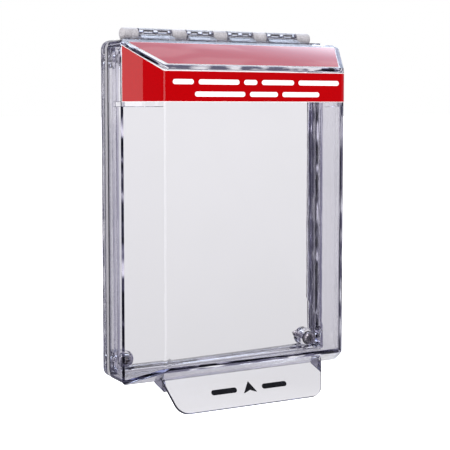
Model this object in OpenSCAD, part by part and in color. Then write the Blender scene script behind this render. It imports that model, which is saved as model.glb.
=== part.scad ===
// Hinged lift cover for a manual call point: a clear frame fixed to the wall, and a clear hood
// that hangs from a pin along the frame's top edge and is lifted by a tab at its foot.
// The wall is the plane y = 0, the front looks along -y, and +z is up.
// The origin is the middle of the four-screw pattern.

/* [Wall frame] */
// Width of the frame
frame_w = 157; // [136:1:190]
// Height of the frame
frame_h = 210; // [170:1:260]
// Radius of the frame's corners
corner_r = 6; // [5:0.5:7]
// Thickness of the outer rim
rim_t = 2.5; // [2:0.25:4]
// Thickness of the raised ledge inside the rim
ledge_t = 6; // [4:0.5:8]
// Width of the ledge beside the rain dam, at the sides
ledge_side = 2.7; // [1:0.1:5]
// Width of the ledge beside the rain dam, at the top and foot
ledge_end = 0.3; // [0.2:0.1:2]
// Thickness of the rain dam
dam_t = 2.4; // [1.8:0.1:3]
// How far the rain dam stands inside the cover's skirt
dam_reach = 6.7; // [3:0.1:9]
// Clearance between the rain dam and the skirt
dam_gap = 1.2; // [1:0.1:2]

/* [Seals] */
// Thickness of the soft gasket between the frame and the wall
gasket_t = 4; // [2:0.25:6]
// Width of that gasket
gasket_w = 5; // [3:0.25:5]
// Width of the seal that the cover closes on
seal_w = 3; // [2:0.25:3.5]
// Height of that seal
seal_h = 3; // [2:0.25:4]
// Gap between that seal and the rain dam
seal_gap = 0.2; // [0.1:0.05:0.5]

/* [Cover] */
// Wall of the cover
cover_t = 3; // [2:0.1:3.6]
// How far the cover's outline is inside the frame's
cover_inset = 0.5; // [0:0.1:1]
// Gap between the closed cover and its seal
cover_gap = 0.3; // [0.2:0.05:0.6]
// Depth of the straight skirt at the sides and foot
skirt_depth = 19.2; // [16:0.1:26]
// How much sooner the skirt turns into the roof at the top
roof_lead = 2.5; // [0:0.1:4]
// Depth of the sloping hood in front of the skirt
hood_depth = 29.6; // [22:0.1:44]
// How far each side leans in from the skirt to the front
hood_taper = 15.7; // [8:0.1:22]
// How far the roof falls from the skirt to the front
roof_fall = 16.8; // [10:0.1:24]
// How far the foot rises from the skirt to the front
foot_rise = 12.2; // [8:0.1:20]
// Radius of the skirt's corners
cover_r = 3.5; // [2:0.25:5.5]
// Radius of the hood's upright front corners
hood_r = 4.5; // [4:0.1:6]
// Radius of the hood's front edges at the roof and foot
edge_r = 3.6; // [3.6:0.1:5]
// Height of the inner stiffening rib on each side
rib_h = 2.6; // [1.5:0.1:4]
// How far that rib stands out of the wall
rib_t = 1.2; // [0.6:0.1:2]

/* [Hinge] */
// Diameter of the hinge pin
pin_d = 3; // [2:0.25:4]
// Diameter of the knuckles
knuckle_d = 7.5; // [6.5:0.1:8]
// Distance of the pin's axis in front of the wall
hinge_out = 7; // [6.5:0.1:7.5]
// Distance of the knuckles above the frame
knuckle_lift = 0.25; // [0.2:0.05:2]
// Distance from the frame's edge to the hinge's end
hinge_end = 10; // [6:0.5:20]
// Length of each inner frame knuckle
frame_knuckle = 9.6; // [6:0.1:14]
// Length of each end knuckle, with its cap
end_knuckle = 11; // [8:0.1:16]
// Length of the two inner cover knuckles
inner_knuckle = 19.6; // [12:0.1:24]
// Gap between neighbouring knuckles
knuckle_gap = 0.4; // [0.3:0.05:1]
// Radial clearance of the pin in the cover's knuckles
pin_play = 0.06; // [0.02:0.01:0.1]
// Radial clearance of the pin and caps in the frame's knuckles
pin_grip = 0.02; // [0.01:0.01:0.05]
// Web left at each end of a cover knuckle's two front windows
window_web = 3; // [2:0.1:4]
// Height of those windows
window_h = 2.2; // [1:0.1:2.6]
// Distance from the pin's axis up to those windows
window_up = 0.3; // [0:0.1:0.6]
// Height of the domed caps that close the hinge
cap_dome = 1.5; // [0.8:0.1:2.5]
// Length of each cap's stub in the end knuckle
cap_stub = 3; // [2:0.1:5]

/* [Lift tab] */
// Width of the tab where it leaves the cover
tab_top_w = 116; // [80:1:118]
// Width of the tab at its lower edge
tab_foot_w = 101; // [60:1:110]
// Length of the tab along its slope
tab_len = 24.5; // [14:0.5:40]
// Thickness of the tab
tab_t = 2.4; // [1.8:0.1:3]
// Lean of the tab away from upright
tab_lean = 30; // [20:1:40]
// Radius of the tab's lower corners
tab_r = 9; // [4:0.5:12]
// Distance from the skirt's front edge to the tab's root
tab_root = 10; // [6:0.5:14]
// Thickness of the gussets behind the tab
gusset_t = 2; // [1.5:0.1:3]
// Length of the gusset down the tab
gusset_len = 9; // [6:0.5:14]

/* [Screws] */
// Distance of each screw from the frame's side edge
screw_side = 12; // [12:0.1:14]
// Distance of each screw from the frame's top or lower edge
screw_end = 11.5; // [11.5:0.1:14]
// Outer diameter of the screw's thread
thread_d = 4.2; // [3.2:0.1:4.2]
// Diameter of the plain neck between the head and the wall
neck_d = 3.4; // [2.6:0.1:3.4]
// Diameter of the pan head
head_d = 8.4; // [7:0.1:8.4]
// Height of the pan head
head_h = 2.8; // [2:0.1:3.4]
// How far each screw stands out of the back
screw_out = 12; // [8:1:30]
// Radius of the screw bosses
boss_r = 6.2; // [5.8:0.1:6.4]
// Height of the screw bosses, from the wall
boss_h = 8.5; // [7:0.1:9]
// Thickness of the sealing washers
washer_t = 0.8; // [0.5:0.1:1.5]
// Length of the screw's pointed end
point_len = 4; // [2:0.5:6]
// Width of the arms of the cross recess
recess_w = 0.9; // [0.6:0.1:1.2]
// Length of the cross recess
recess_len = 4.4; // [3:0.1:5]
// Depth of the cross recess
recess_deep = 1.8; // [1:0.1:2]
// Clearance around the screws' threads
shank_gap = 0.2; // [0.1:0.05:0.5]

/* [Labels] */
// Thickness of the labels
label_t = 0.3; // [0.2:0.05:0.5]
// Height of the label band on the front
band_h = 18.3; // [10:0.1:24]
// Distance from the roof's front corner down to the band
band_drop = 2.4; // [2.4:0.1:5]
// Bare margin of the band at the side walls' upper edge
band_margin = 3; // [1:0.1:5]
// Bare margin of the roof label at its back and sides
roof_margin = 3.4; // [2:0.1:6]
// Bare margin of the roof label at its front
roof_front = 2.2; // [2.2:0.1:6]

/* [Hidden] */
$fn = 48;
far = 400;
eps = 0.01;

// Layers from the wall out, as distances in front of y = 0
rim_y = gasket_t + rim_t;
ledge_y = gasket_t + ledge_t;
skirt_y = rim_y + seal_h + cover_gap;
hood_y = skirt_y + skirt_depth;
roof_y = hood_y - roof_lead;
front_y = hood_y + hood_depth;
dam_y = skirt_y + dam_reach;
seat_y = boss_h + washer_t;

// Half sizes of the outlines, seen from the front: [half width, half height]
frame_half = [frame_w / 2, frame_h / 2];
cover_half = frame_half - [cover_inset, cover_inset];
dam_half = cover_half - [cover_t + dam_gap, cover_t + dam_gap];
ledge_half = dam_half - [dam_t, dam_t];
open_half = ledge_half - [ledge_side, ledge_end];
dam_r = 1.5;
open_r = 1;
seal_half = dam_half + [seal_gap, seal_gap];
seal_r = dam_r;
screw_half = frame_half - [screw_side, screw_end];

// Slopes of the hood: change of width or height for each millimetre of depth
side_slope = hood_taper / hood_depth;
roof_slope = roof_fall / (front_y - roof_y);
foot_slope = foot_rise / hood_depth;

// Screws: share of the head below its dome, radius of the point, washer's lip, and the gap
// between a head and the wall of its recess
head_band = 0.4;
point_r = 0.4;
washer_lip = 0.4;
head_gap = 0.6;

// Hinge
pin_r = pin_d / 2;
knuckle_r = knuckle_d / 2;
hinge_z = frame_half[1] + knuckle_lift + knuckle_r;
hinge_half = frame_half[0] - hinge_end;
cover_bore_r = pin_r + pin_play;
frame_bore_r = pin_r + pin_grip;
strip_t = 1.4;
strip_top = frame_half[1] - 0.1;
rail_foot = frame_half[1] - 2.5;
lug_front = skirt_y - 0.4;
lug_gap = 0.1;
lug_t = strip_top - seal_half[1] - seal_w - lug_gap;
arm_back = skirt_y + 1;
arm_front = skirt_y + 6;
arm_gap = 0.6;
leaf_back = skirt_y + 1.5;
leaf_front = skirt_y + 12;
arm_rise = 0.05;
inner_from = frame_knuckle / 2;
inner_to = inner_from + inner_knuckle;
outer_from = inner_to + frame_knuckle;
outer_to = hinge_half - end_knuckle;

// Tab: gussets' distance from its edges and from the skirt
gusset_in = 1;
gusset_gap = 0.5;

// Labels: how far the band runs back past the hood's widest line
band_back = 0.8;

// ---------- helpers ----------

// Unit vector from a to b
function unit(a, b) = (b - a) / norm(b - a);

// Half the angle at point i of an outline
function half_angle(p, i) = let (n = len(p), u = unit(p[i], p[(i + n - 1) % n]),
    v = unit(p[i], p[(i + 1) % n])) acos(u * v) / 2;

// Points that replace corner i: itself, or the two ends of its arc
function corner(p, r, i) = let (n = len(p), u = unit(p[i], p[(i + n - 1) % n]),
    v = unit(p[i], p[(i + 1) % n]), t = r[i] / tan(half_angle(p, i)))
    r[i] == 0 ? [p[i]] : [p[i] + u * t, p[i] + v * t];

// Middle of the arc at corner i
function arc_middle(p, r, i) = let (n = len(p), u = unit(p[i], p[(i + n - 1) % n]),
    v = unit(p[i], p[(i + 1) % n])) p[i] + (u + v) / norm(u + v) * r[i] / sin(half_angle(p, i));

// Outline with true arcs: p holds the sharp corners and r the radius at each
module soft_polygon(p, r) {
    polygon([for (i = [0 : len(p) - 1]) each corner(p, r, i)]);
    for (i = [0 : len(p) - 1])
        if (r[i] > 0) translate(arc_middle(p, r, i)) circle(r[i]);
}

// Rounded rectangle of half size h, with true arcs
module soft_rect(h, r) {
    soft_polygon([[-h[0], -h[1]], [h[0], -h[1]], [h[0], h[1]], [-h[0], h[1]]], [r, r, r, r]);
}

// Carries a front-view outline from depth a to depth b in front of the wall
module slab(a, b) {
    translate([0, -a, 0]) rotate([90, 0, 0]) linear_extrude(b - a) children();
}

// Carries a side-view outline, drawn as [y, z], from x = a to x = b
module across(a, b) {
    translate([a, 0, 0]) rotate([90, 0, 90]) linear_extrude(b - a) children();
}

// Rounded ring between two half sizes, from depth a to depth b
module ring(outer, r_out, inner, r_in, a, b) {
    slab(a, b) difference() {
        soft_rect(outer, r_out);
        soft_rect(inner, r_in);
    }
}

// One child at each of the four screws
module each_screw() {
    for (sx = [-1, 1], sz = [-1, 1])
        translate([sx * screw_half[0], 0, sz * screw_half[1]]) children();
}

// Round bar along y from depth a to depth b
module bar_y(r, a, b) {
    slab(a, b) circle(r);
}

// Round bar along the hinge's axis
module bar_x(r, a, b) {
    translate([0, -hinge_out, hinge_z]) across(a, b) circle(r);
}

// ---------- hood shape ----------

// Plan of the cover, seen from above, with its walls moved in by t
module plan(t) {
    lean = t * sqrt(1 + side_slope * side_slope);
    front = -front_y + t;
    x0 = cover_half[0] - t;
    x1 = cover_half[0] - hood_taper - lean + t * side_slope;
    turn = front + (x0 - x1) / side_slope;
    r = max(0, hood_r - t);
    soft_polygon([[-x0, far], [-x0, turn], [-x1, front], [x1, front], [x0, turn], [x0, far]],
        [0, 0, r, r, 0, 0]);
}

// Side view of the cover, drawn as [y, z], with its walls moved in by t
module profile(t) {
    roof_lean = t * sqrt(1 + roof_slope * roof_slope);
    foot_lean = t * sqrt(1 + foot_slope * foot_slope);
    front = -front_y + t;
    z0 = cover_half[1] - t;
    top = cover_half[1] - roof_fall - roof_lean + t * roof_slope;
    foot = cover_half[1] - foot_rise - foot_lean + t * foot_slope;
    r = max(0, edge_r - t);
    soft_polygon([[far, -z0], [front + (z0 - foot) / foot_slope, -z0], [front, -foot],
        [front, top], [front + (z0 - top) / roof_slope, z0], [far, z0]], [0, 0, r, r, 0, 0]);
}

// Solid bounded by the cover's outer faces moved in by t, from the skirt's back edge forward
module hood_solid(t, back) {
    intersection() {
        translate([0, 0, -far]) linear_extrude(2 * far) plan(t);
        across(-far, far) profile(t);
        slab(back, front_y + 1) soft_rect(cover_half - [t, t], max(0, cover_r - t));
    }
}

// ---------- wall side ----------

module wall_gasket() {
    inner = frame_half - [gasket_w, gasket_w];
    color("dimgray") difference() {
        ring(frame_half, corner_r, inner, open_r, 0, gasket_t);
        each_screw() bar_y(boss_r + shank_gap, -1, gasket_t + 1);
    }
}

module wall_frame() {
    color("lightsteelblue", 0.5) difference() {
        union() {
            ring(frame_half, corner_r, open_half, open_r, gasket_t, rim_y);
            ring(dam_half, dam_r, open_half, open_r, rim_y, ledge_y);
            ring(dam_half, dam_r, ledge_half, open_r, ledge_y, dam_y);
            // The bosses end at the dam's outer face, clear of the seal
            intersection() {
                each_screw() bar_y(boss_r, 0, boss_h);
                slab(0, boss_h) soft_rect(dam_half, dam_r);
            }
        }
        each_screw() {
            bar_y(thread_d / 2 + shank_gap, -1, boss_h + 1);
            bar_y(head_d / 2 + head_gap, boss_h, dam_y + 1);
        }
        slab(0, far) translate([-hinge_half, rail_foot]) square([2 * hinge_half, far]);
    }
}

module cover_seal() {
    outer = seal_half + [seal_w, seal_w];
    color("black") ring(outer, seal_r + seal_w, seal_half, seal_r, rim_y, rim_y + seal_h);
}

// One frame knuckle from x = a to x = b, with the lug that carries it
module frame_lug(a, b) {
    difference() {
        union() {
            bar_x(knuckle_r, a, b);
            across(a, b) polygon([[-gasket_t, strip_top - lug_t], [-gasket_t, hinge_z],
                [-hinge_out, hinge_z], [-hinge_out, hinge_z - knuckle_r + lug_t],
                [-lug_front, strip_top], [-lug_front, strip_top - lug_t]]);
        }
        bar_x(frame_bore_r, a - 1, b + 1);
    }
}

module hinge_rail() {
    color("gainsboro") {
        across(-hinge_half, hinge_half)
            polygon([[-gasket_t, rail_foot], [-gasket_t, strip_top], [-rim_y, strip_top],
                [-rim_y, rail_foot]]);
        frame_lug(-inner_from, inner_from);
        for (s = [0, 1]) mirror([s, 0, 0]) {
            frame_lug(inner_to, outer_from);
            frame_lug(outer_to, hinge_half - cap_dome);
        }
    }
}

module hinge_pin() {
    color("silver") bar_x(pin_r, cap_dome + cap_stub - hinge_half, hinge_half - cap_dome - cap_stub);
}

// Half section of an end cap about its axis: a stub, then a domed head
module cap_section() {
    dome_r = (knuckle_r * knuckle_r + cap_dome * cap_dome) / (2 * cap_dome);
    square([pin_r, cap_stub + cap_dome / 2]);
    intersection() {
        translate([0, cap_stub]) square([knuckle_r, cap_dome]);
        translate([0, cap_stub + cap_dome - dome_r]) circle(dome_r, $fn = 96);
    }
}

// Domed cap that closes the hinge's right end
module pin_cap() {
    color("whitesmoke") translate([hinge_half - cap_dome - cap_stub, -hinge_out, hinge_z])
        rotate([0, 90, 0]) rotate_extrude() cap_section();
}

module pin_cap_right() {
    pin_cap();
}

module pin_cap_left() {
    mirror([1, 0, 0]) pin_cap();
}

// Pan-head screw along y, seated on its washer
module pan_screw() {
    band = head_h * head_band;
    rise = head_h - band;
    crown_r = (head_d * head_d / 4 + rise * rise) / (2 * rise);
    difference() {
        union() {
            bar_y(head_d / 2, seat_y, seat_y + band);
            intersection() {
                bar_y(head_d / 2, seat_y + band - eps, seat_y + head_h);
                translate([0, crown_r - seat_y - head_h, 0]) sphere(crown_r, $fn = 64);
            }
            bar_y(neck_d / 2, -eps, seat_y + eps);
            bar_y(thread_d / 2, point_len - screw_out, 0);
            rotate([-90, 0, 0]) translate([0, 0, screw_out - point_len])
                cylinder(point_len, thread_d / 2, point_r);
        }
        for (turn = [0, 90]) rotate([0, turn, 0])
            translate([-recess_len / 2, -seat_y - head_h - 1, -recess_w / 2])
                cube([recess_len, recess_deep + 1, recess_w]);
    }
}

module frame_screws() {
    color("slategray") each_screw() pan_screw();
}

module screw_washers() {
    color("dimgray") each_screw() slab(boss_h, seat_y) difference() {
        circle(head_d / 2 + washer_lip);
        circle(thread_d / 2 + shank_gap);
    }
}

// ---------- cover side ----------

module cover_shell() {
    rib_foot = cover_half[1] - roof_fall - band_drop - band_h - rib_h;
    rib_end = 2;
    color("azure", 0.5) {
        difference() {
            hood_solid(0, skirt_y);
            hood_solid(cover_t, skirt_y - 1);
        }
        for (s = [0, 1]) mirror([s, 0, 0]) intersection() {
            difference() {
                hood_solid(cover_t - eps, dam_y + rib_end);
                hood_solid(cover_t + rib_t, skirt_y);
            }
            translate([cover_half[0] - hood_taper - cover_t - rib_t, cover_t + rib_end - front_y,
                rib_foot]) cube([far, far, rib_h]);
        }
    }
}

// One cover knuckle from x = a to x = b, with its arm and two windows onto the pin
module cover_knuckle(a, b) {
    foot = cover_half[1];
    window = (b - a - 3 * window_web) / 2;
    difference() {
        union() {
            bar_x(knuckle_r, a, b);
            across(a, b) polygon([[-hinge_out, hinge_z], [-hinge_out, hinge_z - knuckle_r + arm_rise],
                [-arm_back, strip_top + arm_gap], [-arm_back, foot], [-arm_front, foot],
                [-arm_front, foot + strip_t], [-hinge_out - knuckle_r, hinge_z]]);
        }
        bar_x(cover_bore_r, a - 1, b + 1);
        for (k = [0, 1]) translate([a + window_web + k * (window + window_web),
            -hinge_out - knuckle_r - 1, hinge_z + window_up])
            cube([window, knuckle_r + 1, window_h]);
    }
}

module cover_hinge_leaf() {
    color("azure", 0.6) {
        translate([-hinge_half, -leaf_front, cover_half[1]])
            cube([2 * hinge_half, leaf_front - leaf_back, strip_t]);
        for (s = [0, 1]) mirror([s, 0, 0]) {
            cover_knuckle(inner_from + knuckle_gap, inner_to - knuckle_gap);
            cover_knuckle(outer_from + knuckle_gap, outer_to - knuckle_gap);
        }
    }
}

// Tab outline in its own plane: its root is on y = 0 and it runs down to y = -tab_len.
// It also runs up into the hood, whose outer face cuts it off.
module tab_outline() {
    spread = (tab_top_w - tab_foot_w) / 2 / tab_len;
    above = tab_len / 2;
    soft_polygon([[-tab_foot_w / 2, -tab_len], [tab_foot_w / 2, -tab_len],
        [tab_top_w / 2 + spread * above, above], [-tab_top_w / 2 - spread * above, above]],
        [tab_r, tab_r, 0, 0]);
}

// Side view of a gusset about the tab's root, drawn as [y, z]
module gusset_outline() {
    back = tab_root - gusset_gap;
    polygon([[back, 0], [back, -tab_root * foot_slope - gusset_gap],
        [-gusset_len * sin(tab_lean), -gusset_len * cos(tab_lean)], [-gusset_gap, 0]]);
}

module lift_tab() {
    root_y = -hood_y - tab_root;
    root_z = -cover_half[1] + tab_root * foot_slope;
    color("lavender", 0.6) difference() {
        union() {
            translate([0, root_y, root_z]) rotate([90 - tab_lean, 0, 0])
                linear_extrude(tab_t) tab_outline();
            for (s = [0, 1]) mirror([s, 0, 0])
                translate([tab_top_w / 2 - gusset_t - gusset_in, root_y, root_z])
                    across(0, gusset_t) gusset_outline();
        }
        hood_solid(0, skirt_y);
        translate([-far, -hood_y - gusset_gap, -far]) cube([2 * far, far, 2 * far]);
    }
}

// ---------- labels ----------

module band_label() {
    top = cover_half[1] - roof_fall - band_drop;
    back = -hood_y - band_back;
    side_top = cover_half[1] - band_margin - band_back * roof_slope;
    color("red") intersection() {
        difference() {
            hood_solid(-label_t, skirt_y);
            hood_solid(0, skirt_y - 1);
        }
        across(-far, far) polygon([[back, top - band_h], [-front_y - 1, top - band_h],
            [-front_y - 1, top], [-front_y + 1, top], [back, side_top]]);
    }
}

module roof_label() {
    back = -roof_y - roof_margin;
    front = -front_y + roof_front;
    w_back = cover_half[0] - roof_margin - max(0, -back - hood_y) * side_slope;
    w_front = cover_half[0] - hood_taper + roof_front * side_slope - roof_margin;
    color("red") intersection() {
        difference() {
            hood_solid(-label_t, skirt_y);
            hood_solid(0, skirt_y - 1);
        }
        linear_extrude(far) polygon([[-w_front, front], [w_front, front], [w_back, back],
            [-w_back, back]]);
    }
}

wall_gasket();
wall_frame();
cover_seal();
hinge_rail();
hinge_pin();
pin_cap_left();
pin_cap_right();
frame_screws();
screw_washers();
cover_shell();
cover_hinge_leaf();
lift_tab();
band_label();
roof_label();
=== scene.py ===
"""Looks of a clear lift cover for a manual call point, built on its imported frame.

The object is a clear wall frame on a soft gasket, a clear hood that hangs from a hinge along the
frame's top edge, a red label band and roof label, and a lift tab at the hood's foot. Sizes are in
metres, the wall is the plane y = 0, the front looks along -y and +z is up.
"""

import logging
import math
import operator
from dataclasses import dataclass, field
from enum import Enum
from functools import reduce
from typing import Callable, Iterable, Sequence

import bmesh
import bpy
import numpy as np
from mathutils import Euler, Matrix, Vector


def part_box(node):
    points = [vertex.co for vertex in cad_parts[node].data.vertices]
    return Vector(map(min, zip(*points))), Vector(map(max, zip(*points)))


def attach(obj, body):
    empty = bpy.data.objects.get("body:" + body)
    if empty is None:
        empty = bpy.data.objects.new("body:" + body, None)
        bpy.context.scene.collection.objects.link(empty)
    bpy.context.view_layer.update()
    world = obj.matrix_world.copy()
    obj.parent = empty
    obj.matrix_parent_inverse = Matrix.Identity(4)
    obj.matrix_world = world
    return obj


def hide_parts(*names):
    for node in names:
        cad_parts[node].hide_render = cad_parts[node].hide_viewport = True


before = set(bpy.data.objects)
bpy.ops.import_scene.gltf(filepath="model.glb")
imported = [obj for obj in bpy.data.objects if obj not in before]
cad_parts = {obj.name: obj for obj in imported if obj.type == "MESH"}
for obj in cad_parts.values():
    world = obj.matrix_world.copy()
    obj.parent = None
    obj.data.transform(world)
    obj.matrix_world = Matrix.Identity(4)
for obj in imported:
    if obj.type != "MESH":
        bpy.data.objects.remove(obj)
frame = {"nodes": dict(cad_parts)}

Array = np.ndarray
MM = 0.001
MERGE = 1e-7

log = logging.getLogger("call_point_cover")


class Body(Enum):
    """The two bodies that the pieces ride on."""

    FRAME = "frame"
    COVER = "cover"


class Boole(Enum):
    """How one closed surface changes another."""

    JOIN = "UNION"
    CUT = "DIFFERENCE"


# ---------- surfaces ----------


@dataclass(frozen=True)
class Surface:
    """A closed surface as arrays.

    Args:
        points: corners, one row of x, y, z for each, in metres.
        quads: four corner numbers for each face.
        caps: corner numbers of each many-sided flat face.
    """

    points: Array
    quads: Array
    caps: tuple[Array, ...] = ()

    def __add__(self, other: "Surface") -> "Surface":
        """Both surfaces as one.

        Args:
            other: the surface to add.

        Returns:
            One set of arrays.
        """
        shift = len(self.points)
        return Surface(
            np.vstack([self.points, other.points]),
            np.vstack([self.quads, other.quads + shift]),
            self.caps + tuple(cap + shift for cap in other.caps),
        )

    def mirrored(self) -> "Surface":
        """The surface mirrored in the plane x = 0."""
        return Surface(self.points * (-1.0, 1.0, 1.0), self.quads, self.caps)


def grid_quads(rows: int, cols: int, wrap_rows: bool = False, wrap_cols: bool = True) -> Array:
    """Faces of a grid whose corner (i, j) has the number i * cols + j.

    Args:
        rows: number of rows.
        cols: number of columns.
        wrap_rows: whether the last row joins the first.
        wrap_cols: whether the last column joins the first.

    Returns:
        Four corner numbers for each cell.
    """
    i = np.arange(rows if wrap_rows else rows - 1)[:, None]
    j = np.arange(cols if wrap_cols else cols - 1)[None, :]
    below, beside = (i + 1) % rows, (j + 1) % cols
    cells = np.stack(
        [i * cols + j, i * cols + beside, below * cols + beside, below * cols + j], -1
    )
    return cells.reshape(-1, 4)


def loft(rows: Array, closed: bool = False) -> Surface:
    """Surface through a stack of closed outlines.

    Args:
        rows: outlines as an array of (row, point on it, 3).
        closed: whether the last outline joins the first; otherwise both ends get a flat cap.

    Returns:
        The closed surface.
    """
    count, around = rows.shape[:2]
    ends = () if closed else (np.arange(around), np.arange(around) + (count - 1) * around)
    return Surface(rows.reshape(-1, 3), grid_quads(count, around, wrap_rows=closed), ends)


def together(parts: Sequence[Surface]) -> Surface:
    """All the surfaces as one set of arrays."""
    return reduce(operator.add, parts)


def plate(front: Array, back: Array) -> Surface:
    """Thin plate between two sheets that are grids of the same shape.

    Args:
        front: outer sheet as an array of (row, column, 3).
        back: inner sheet, point for point behind the outer one.

    Returns:
        The closed surface: both sheets and the strip round their borders.
    """
    rows, cols = front.shape[:2]
    numbers = np.arange(rows * cols).reshape(rows, cols)
    border = np.concatenate(
        [numbers[0, :-1], numbers[:-1, -1], numbers[-1, :0:-1], numbers[:0:-1, 0]]
    )
    after = np.roll(border, -1)
    shift = rows * cols
    rim = np.stack([border, after, after + shift, border + shift], -1)
    sheet = grid_quads(rows, cols, wrap_cols=False)
    return Surface(
        np.vstack([front.reshape(-1, 3), back.reshape(-1, 3)]),
        np.vstack([sheet, sheet + shift, rim]),
    )


def outline(
    corners: Sequence[Sequence[float]], radii: float | Sequence[float], steps: int = 5,
) -> Array:
    """Flat outline whose corners are arcs.

    Each arc's centre lies on the corner's bisector, and its points turn evenly from one tangent
    point to the other: a weighted sum of the two end spokes, with sines as the weights.

    Args:
        corners: sharp corners in order.
        radii: radius at every corner, or one for each.
        steps: spans in each arc.

    Returns:
        Points as an array of (point, 2).
    """
    p = np.asarray(corners, float)
    r = np.broadcast_to(np.asarray(radii, float), (len(p),)).copy()[:, None]
    r = np.maximum(r, 1e-9)
    u, v = np.roll(p, 1, 0) - p, np.roll(p, -1, 0) - p
    u /= np.linalg.norm(u, axis=1, keepdims=True)
    v /= np.linalg.norm(v, axis=1, keepdims=True)
    half = np.arccos(np.clip((u * v).sum(1, keepdims=True), -1, 1)) / 2
    middle = (u + v) / np.linalg.norm(u + v, axis=1, keepdims=True)
    centre = p + middle * r / np.sin(half)
    start, end = p + u * r / np.tan(half) - centre, p + v * r / np.tan(half) - centre
    sweep = (math.pi - 2 * half)[:, None, :]
    k = np.linspace(0, 1, steps + 1)[None, :, None]
    spokes = (
        start[:, None] * np.sin((1 - k) * sweep) + end[:, None] * np.sin(k * sweep)
    ) / np.sin(sweep)
    return (centre[:, None] + spokes).reshape(-1, 2)


def eased_prism(
    shape: Array, low: float, high: float, ease: float, place: Callable[[Array], Array],
) -> Surface:
    """Plate cut from a flat outline, with its rims rounded over.

    The rounding is a quarter circle: the outline shrinks towards its own middle line by
    ease * (1 - sin a) while the face is approached by ease * cos a.

    Args:
        shape: outline as an array of (point, 2).
        low: lower face, across the plate.
        high: upper face, across the plate.
        ease: radius of the rims.
        place: maps an array of (..., 3) of outline x, outline y and height into the frame.

    Returns:
        The closed surface.
    """
    before, after = shape - np.roll(shape, 1, 0), np.roll(shape, -1, 0) - shape
    along = before / np.linalg.norm(before, axis=1, keepdims=True)
    along = along + after / np.linalg.norm(after, axis=1, keepdims=True)
    along /= np.linalg.norm(along, axis=1, keepdims=True)
    inward = np.stack([-along[:, 1], along[:, 0]], 1)
    area = (shape[:, 0] * np.roll(shape[:, 1], -1) - np.roll(shape[:, 0], -1) * shape[:, 1]).sum()
    inward *= math.copysign(1.0, area)
    turn = np.linspace(0, math.pi / 2, 4)
    shrink = ease * (1 - np.sin(turn))
    rise = ease * (1 - np.cos(turn))
    inset = np.concatenate([shrink, shrink[::-1]])
    height = np.concatenate([low + rise, high - rise[::-1]])
    flat = shape[None] + inward[None] * inset[:, None, None]
    tall = np.broadcast_to(height[:, None, None], flat.shape[:2] + (1,))
    return loft(place(np.concatenate([flat, tall], -1)))


def revolved(profile: Array, centre: Sequence[float], axis: int, steps: int = 40) -> Surface:
    """Solid of revolution.

    Args:
        profile: (radius, place along the axis) of each ring, from one end to the other.
        centre: a point on the axis.
        axis: 0, 1 or 2 for an axis along x, y or z.
        steps: spans round the axis.

    Returns:
        The closed surface, with a flat cap at each end.
    """
    turn = np.linspace(0, 2 * math.pi, steps, endpoint=False)
    rows = np.zeros((len(profile), steps, 3))
    one, two = (axis + 1) % 3, (axis + 2) % 3
    rows[..., one] = profile[:, :1] * np.cos(turn)
    rows[..., two] = profile[:, :1] * np.sin(turn)
    rows[..., axis] = profile[:, 1:]
    return loft(rows + np.asarray(centre, float))


def tube(outer: Array, inner: Array, centre: Sequence[float], axis: int, steps: int = 40) -> Surface:
    """Ring of revolution with a hole through it.

    Args:
        outer: (radius, place along the axis) of the outside, from one end to the other.
        inner: the same for the hole's wall.
        centre: a point on the axis.
        axis: 0, 1 or 2 for an axis along x, y or z.
        steps: spans round the axis.

    Returns:
        The closed surface.
    """
    capped = revolved(np.vstack([outer, inner[::-1]]), centre, axis, steps)
    count = len(outer) + len(inner)
    return Surface(capped.points, grid_quads(count, steps, wrap_rows=True))


def soft_frame(
    half_x: Array, half_z: Array, radius: Array, steps: int = 8, middle: Array | float = 0.0,
) -> Array:
    """Rounded rectangles, one for each entry of the arrays.

    Each point is its corner's centre plus the radius at an angle that runs once round.

    Args:
        half_x: half width of each.
        half_z: half height of each.
        radius: corner radius of each.
        steps: points in each corner.
        middle: height of each one's middle.

    Returns:
        (rectangle, point, 2) of x and z.
    """
    turn = (np.arange(4)[:, None] * math.pi / 2 + np.linspace(0, math.pi / 2, steps)).ravel()
    mid = np.repeat(np.arange(4) * math.pi / 2 + math.pi / 4, steps)
    sx, sz = np.sign(np.cos(mid)), np.sign(np.sin(mid))
    half_x, half_z, radius = (np.asarray(v, float)[:, None] for v in (half_x, half_z, radius))
    x = sx * (half_x - radius) + radius * np.cos(turn)
    z = np.reshape(middle, (-1, 1)) + sz * (half_z - radius) + radius * np.sin(turn)
    return np.stack([x, z], -1)


# ---------- pieces ----------


def to_mesh(name: str, surface: Surface) -> bpy.types.Mesh:
    """Blender mesh of a surface, with doubles merged and faces turned outwards.

    Args:
        name: the mesh's name.
        surface: its arrays.

    Returns:
        The mesh.
    """
    mesh = bpy.data.meshes.new(name)
    faces = surface.quads.tolist() + [cap.tolist() for cap in surface.caps]
    mesh.from_pydata(surface.points.tolist(), [], faces)
    edit = bmesh.new()
    edit.from_mesh(mesh)
    bmesh.ops.remove_doubles(edit, verts=edit.verts, dist=MERGE)
    bmesh.ops.dissolve_degenerate(edit, edges=edit.edges, dist=MERGE)
    bmesh.ops.recalc_face_normals(edit, faces=edit.faces)
    if edit.calc_volume(signed=True) < 0:
        bmesh.ops.reverse_faces(edit, faces=edit.faces)
    edit.to_mesh(mesh)
    edit.free()
    return mesh


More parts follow.
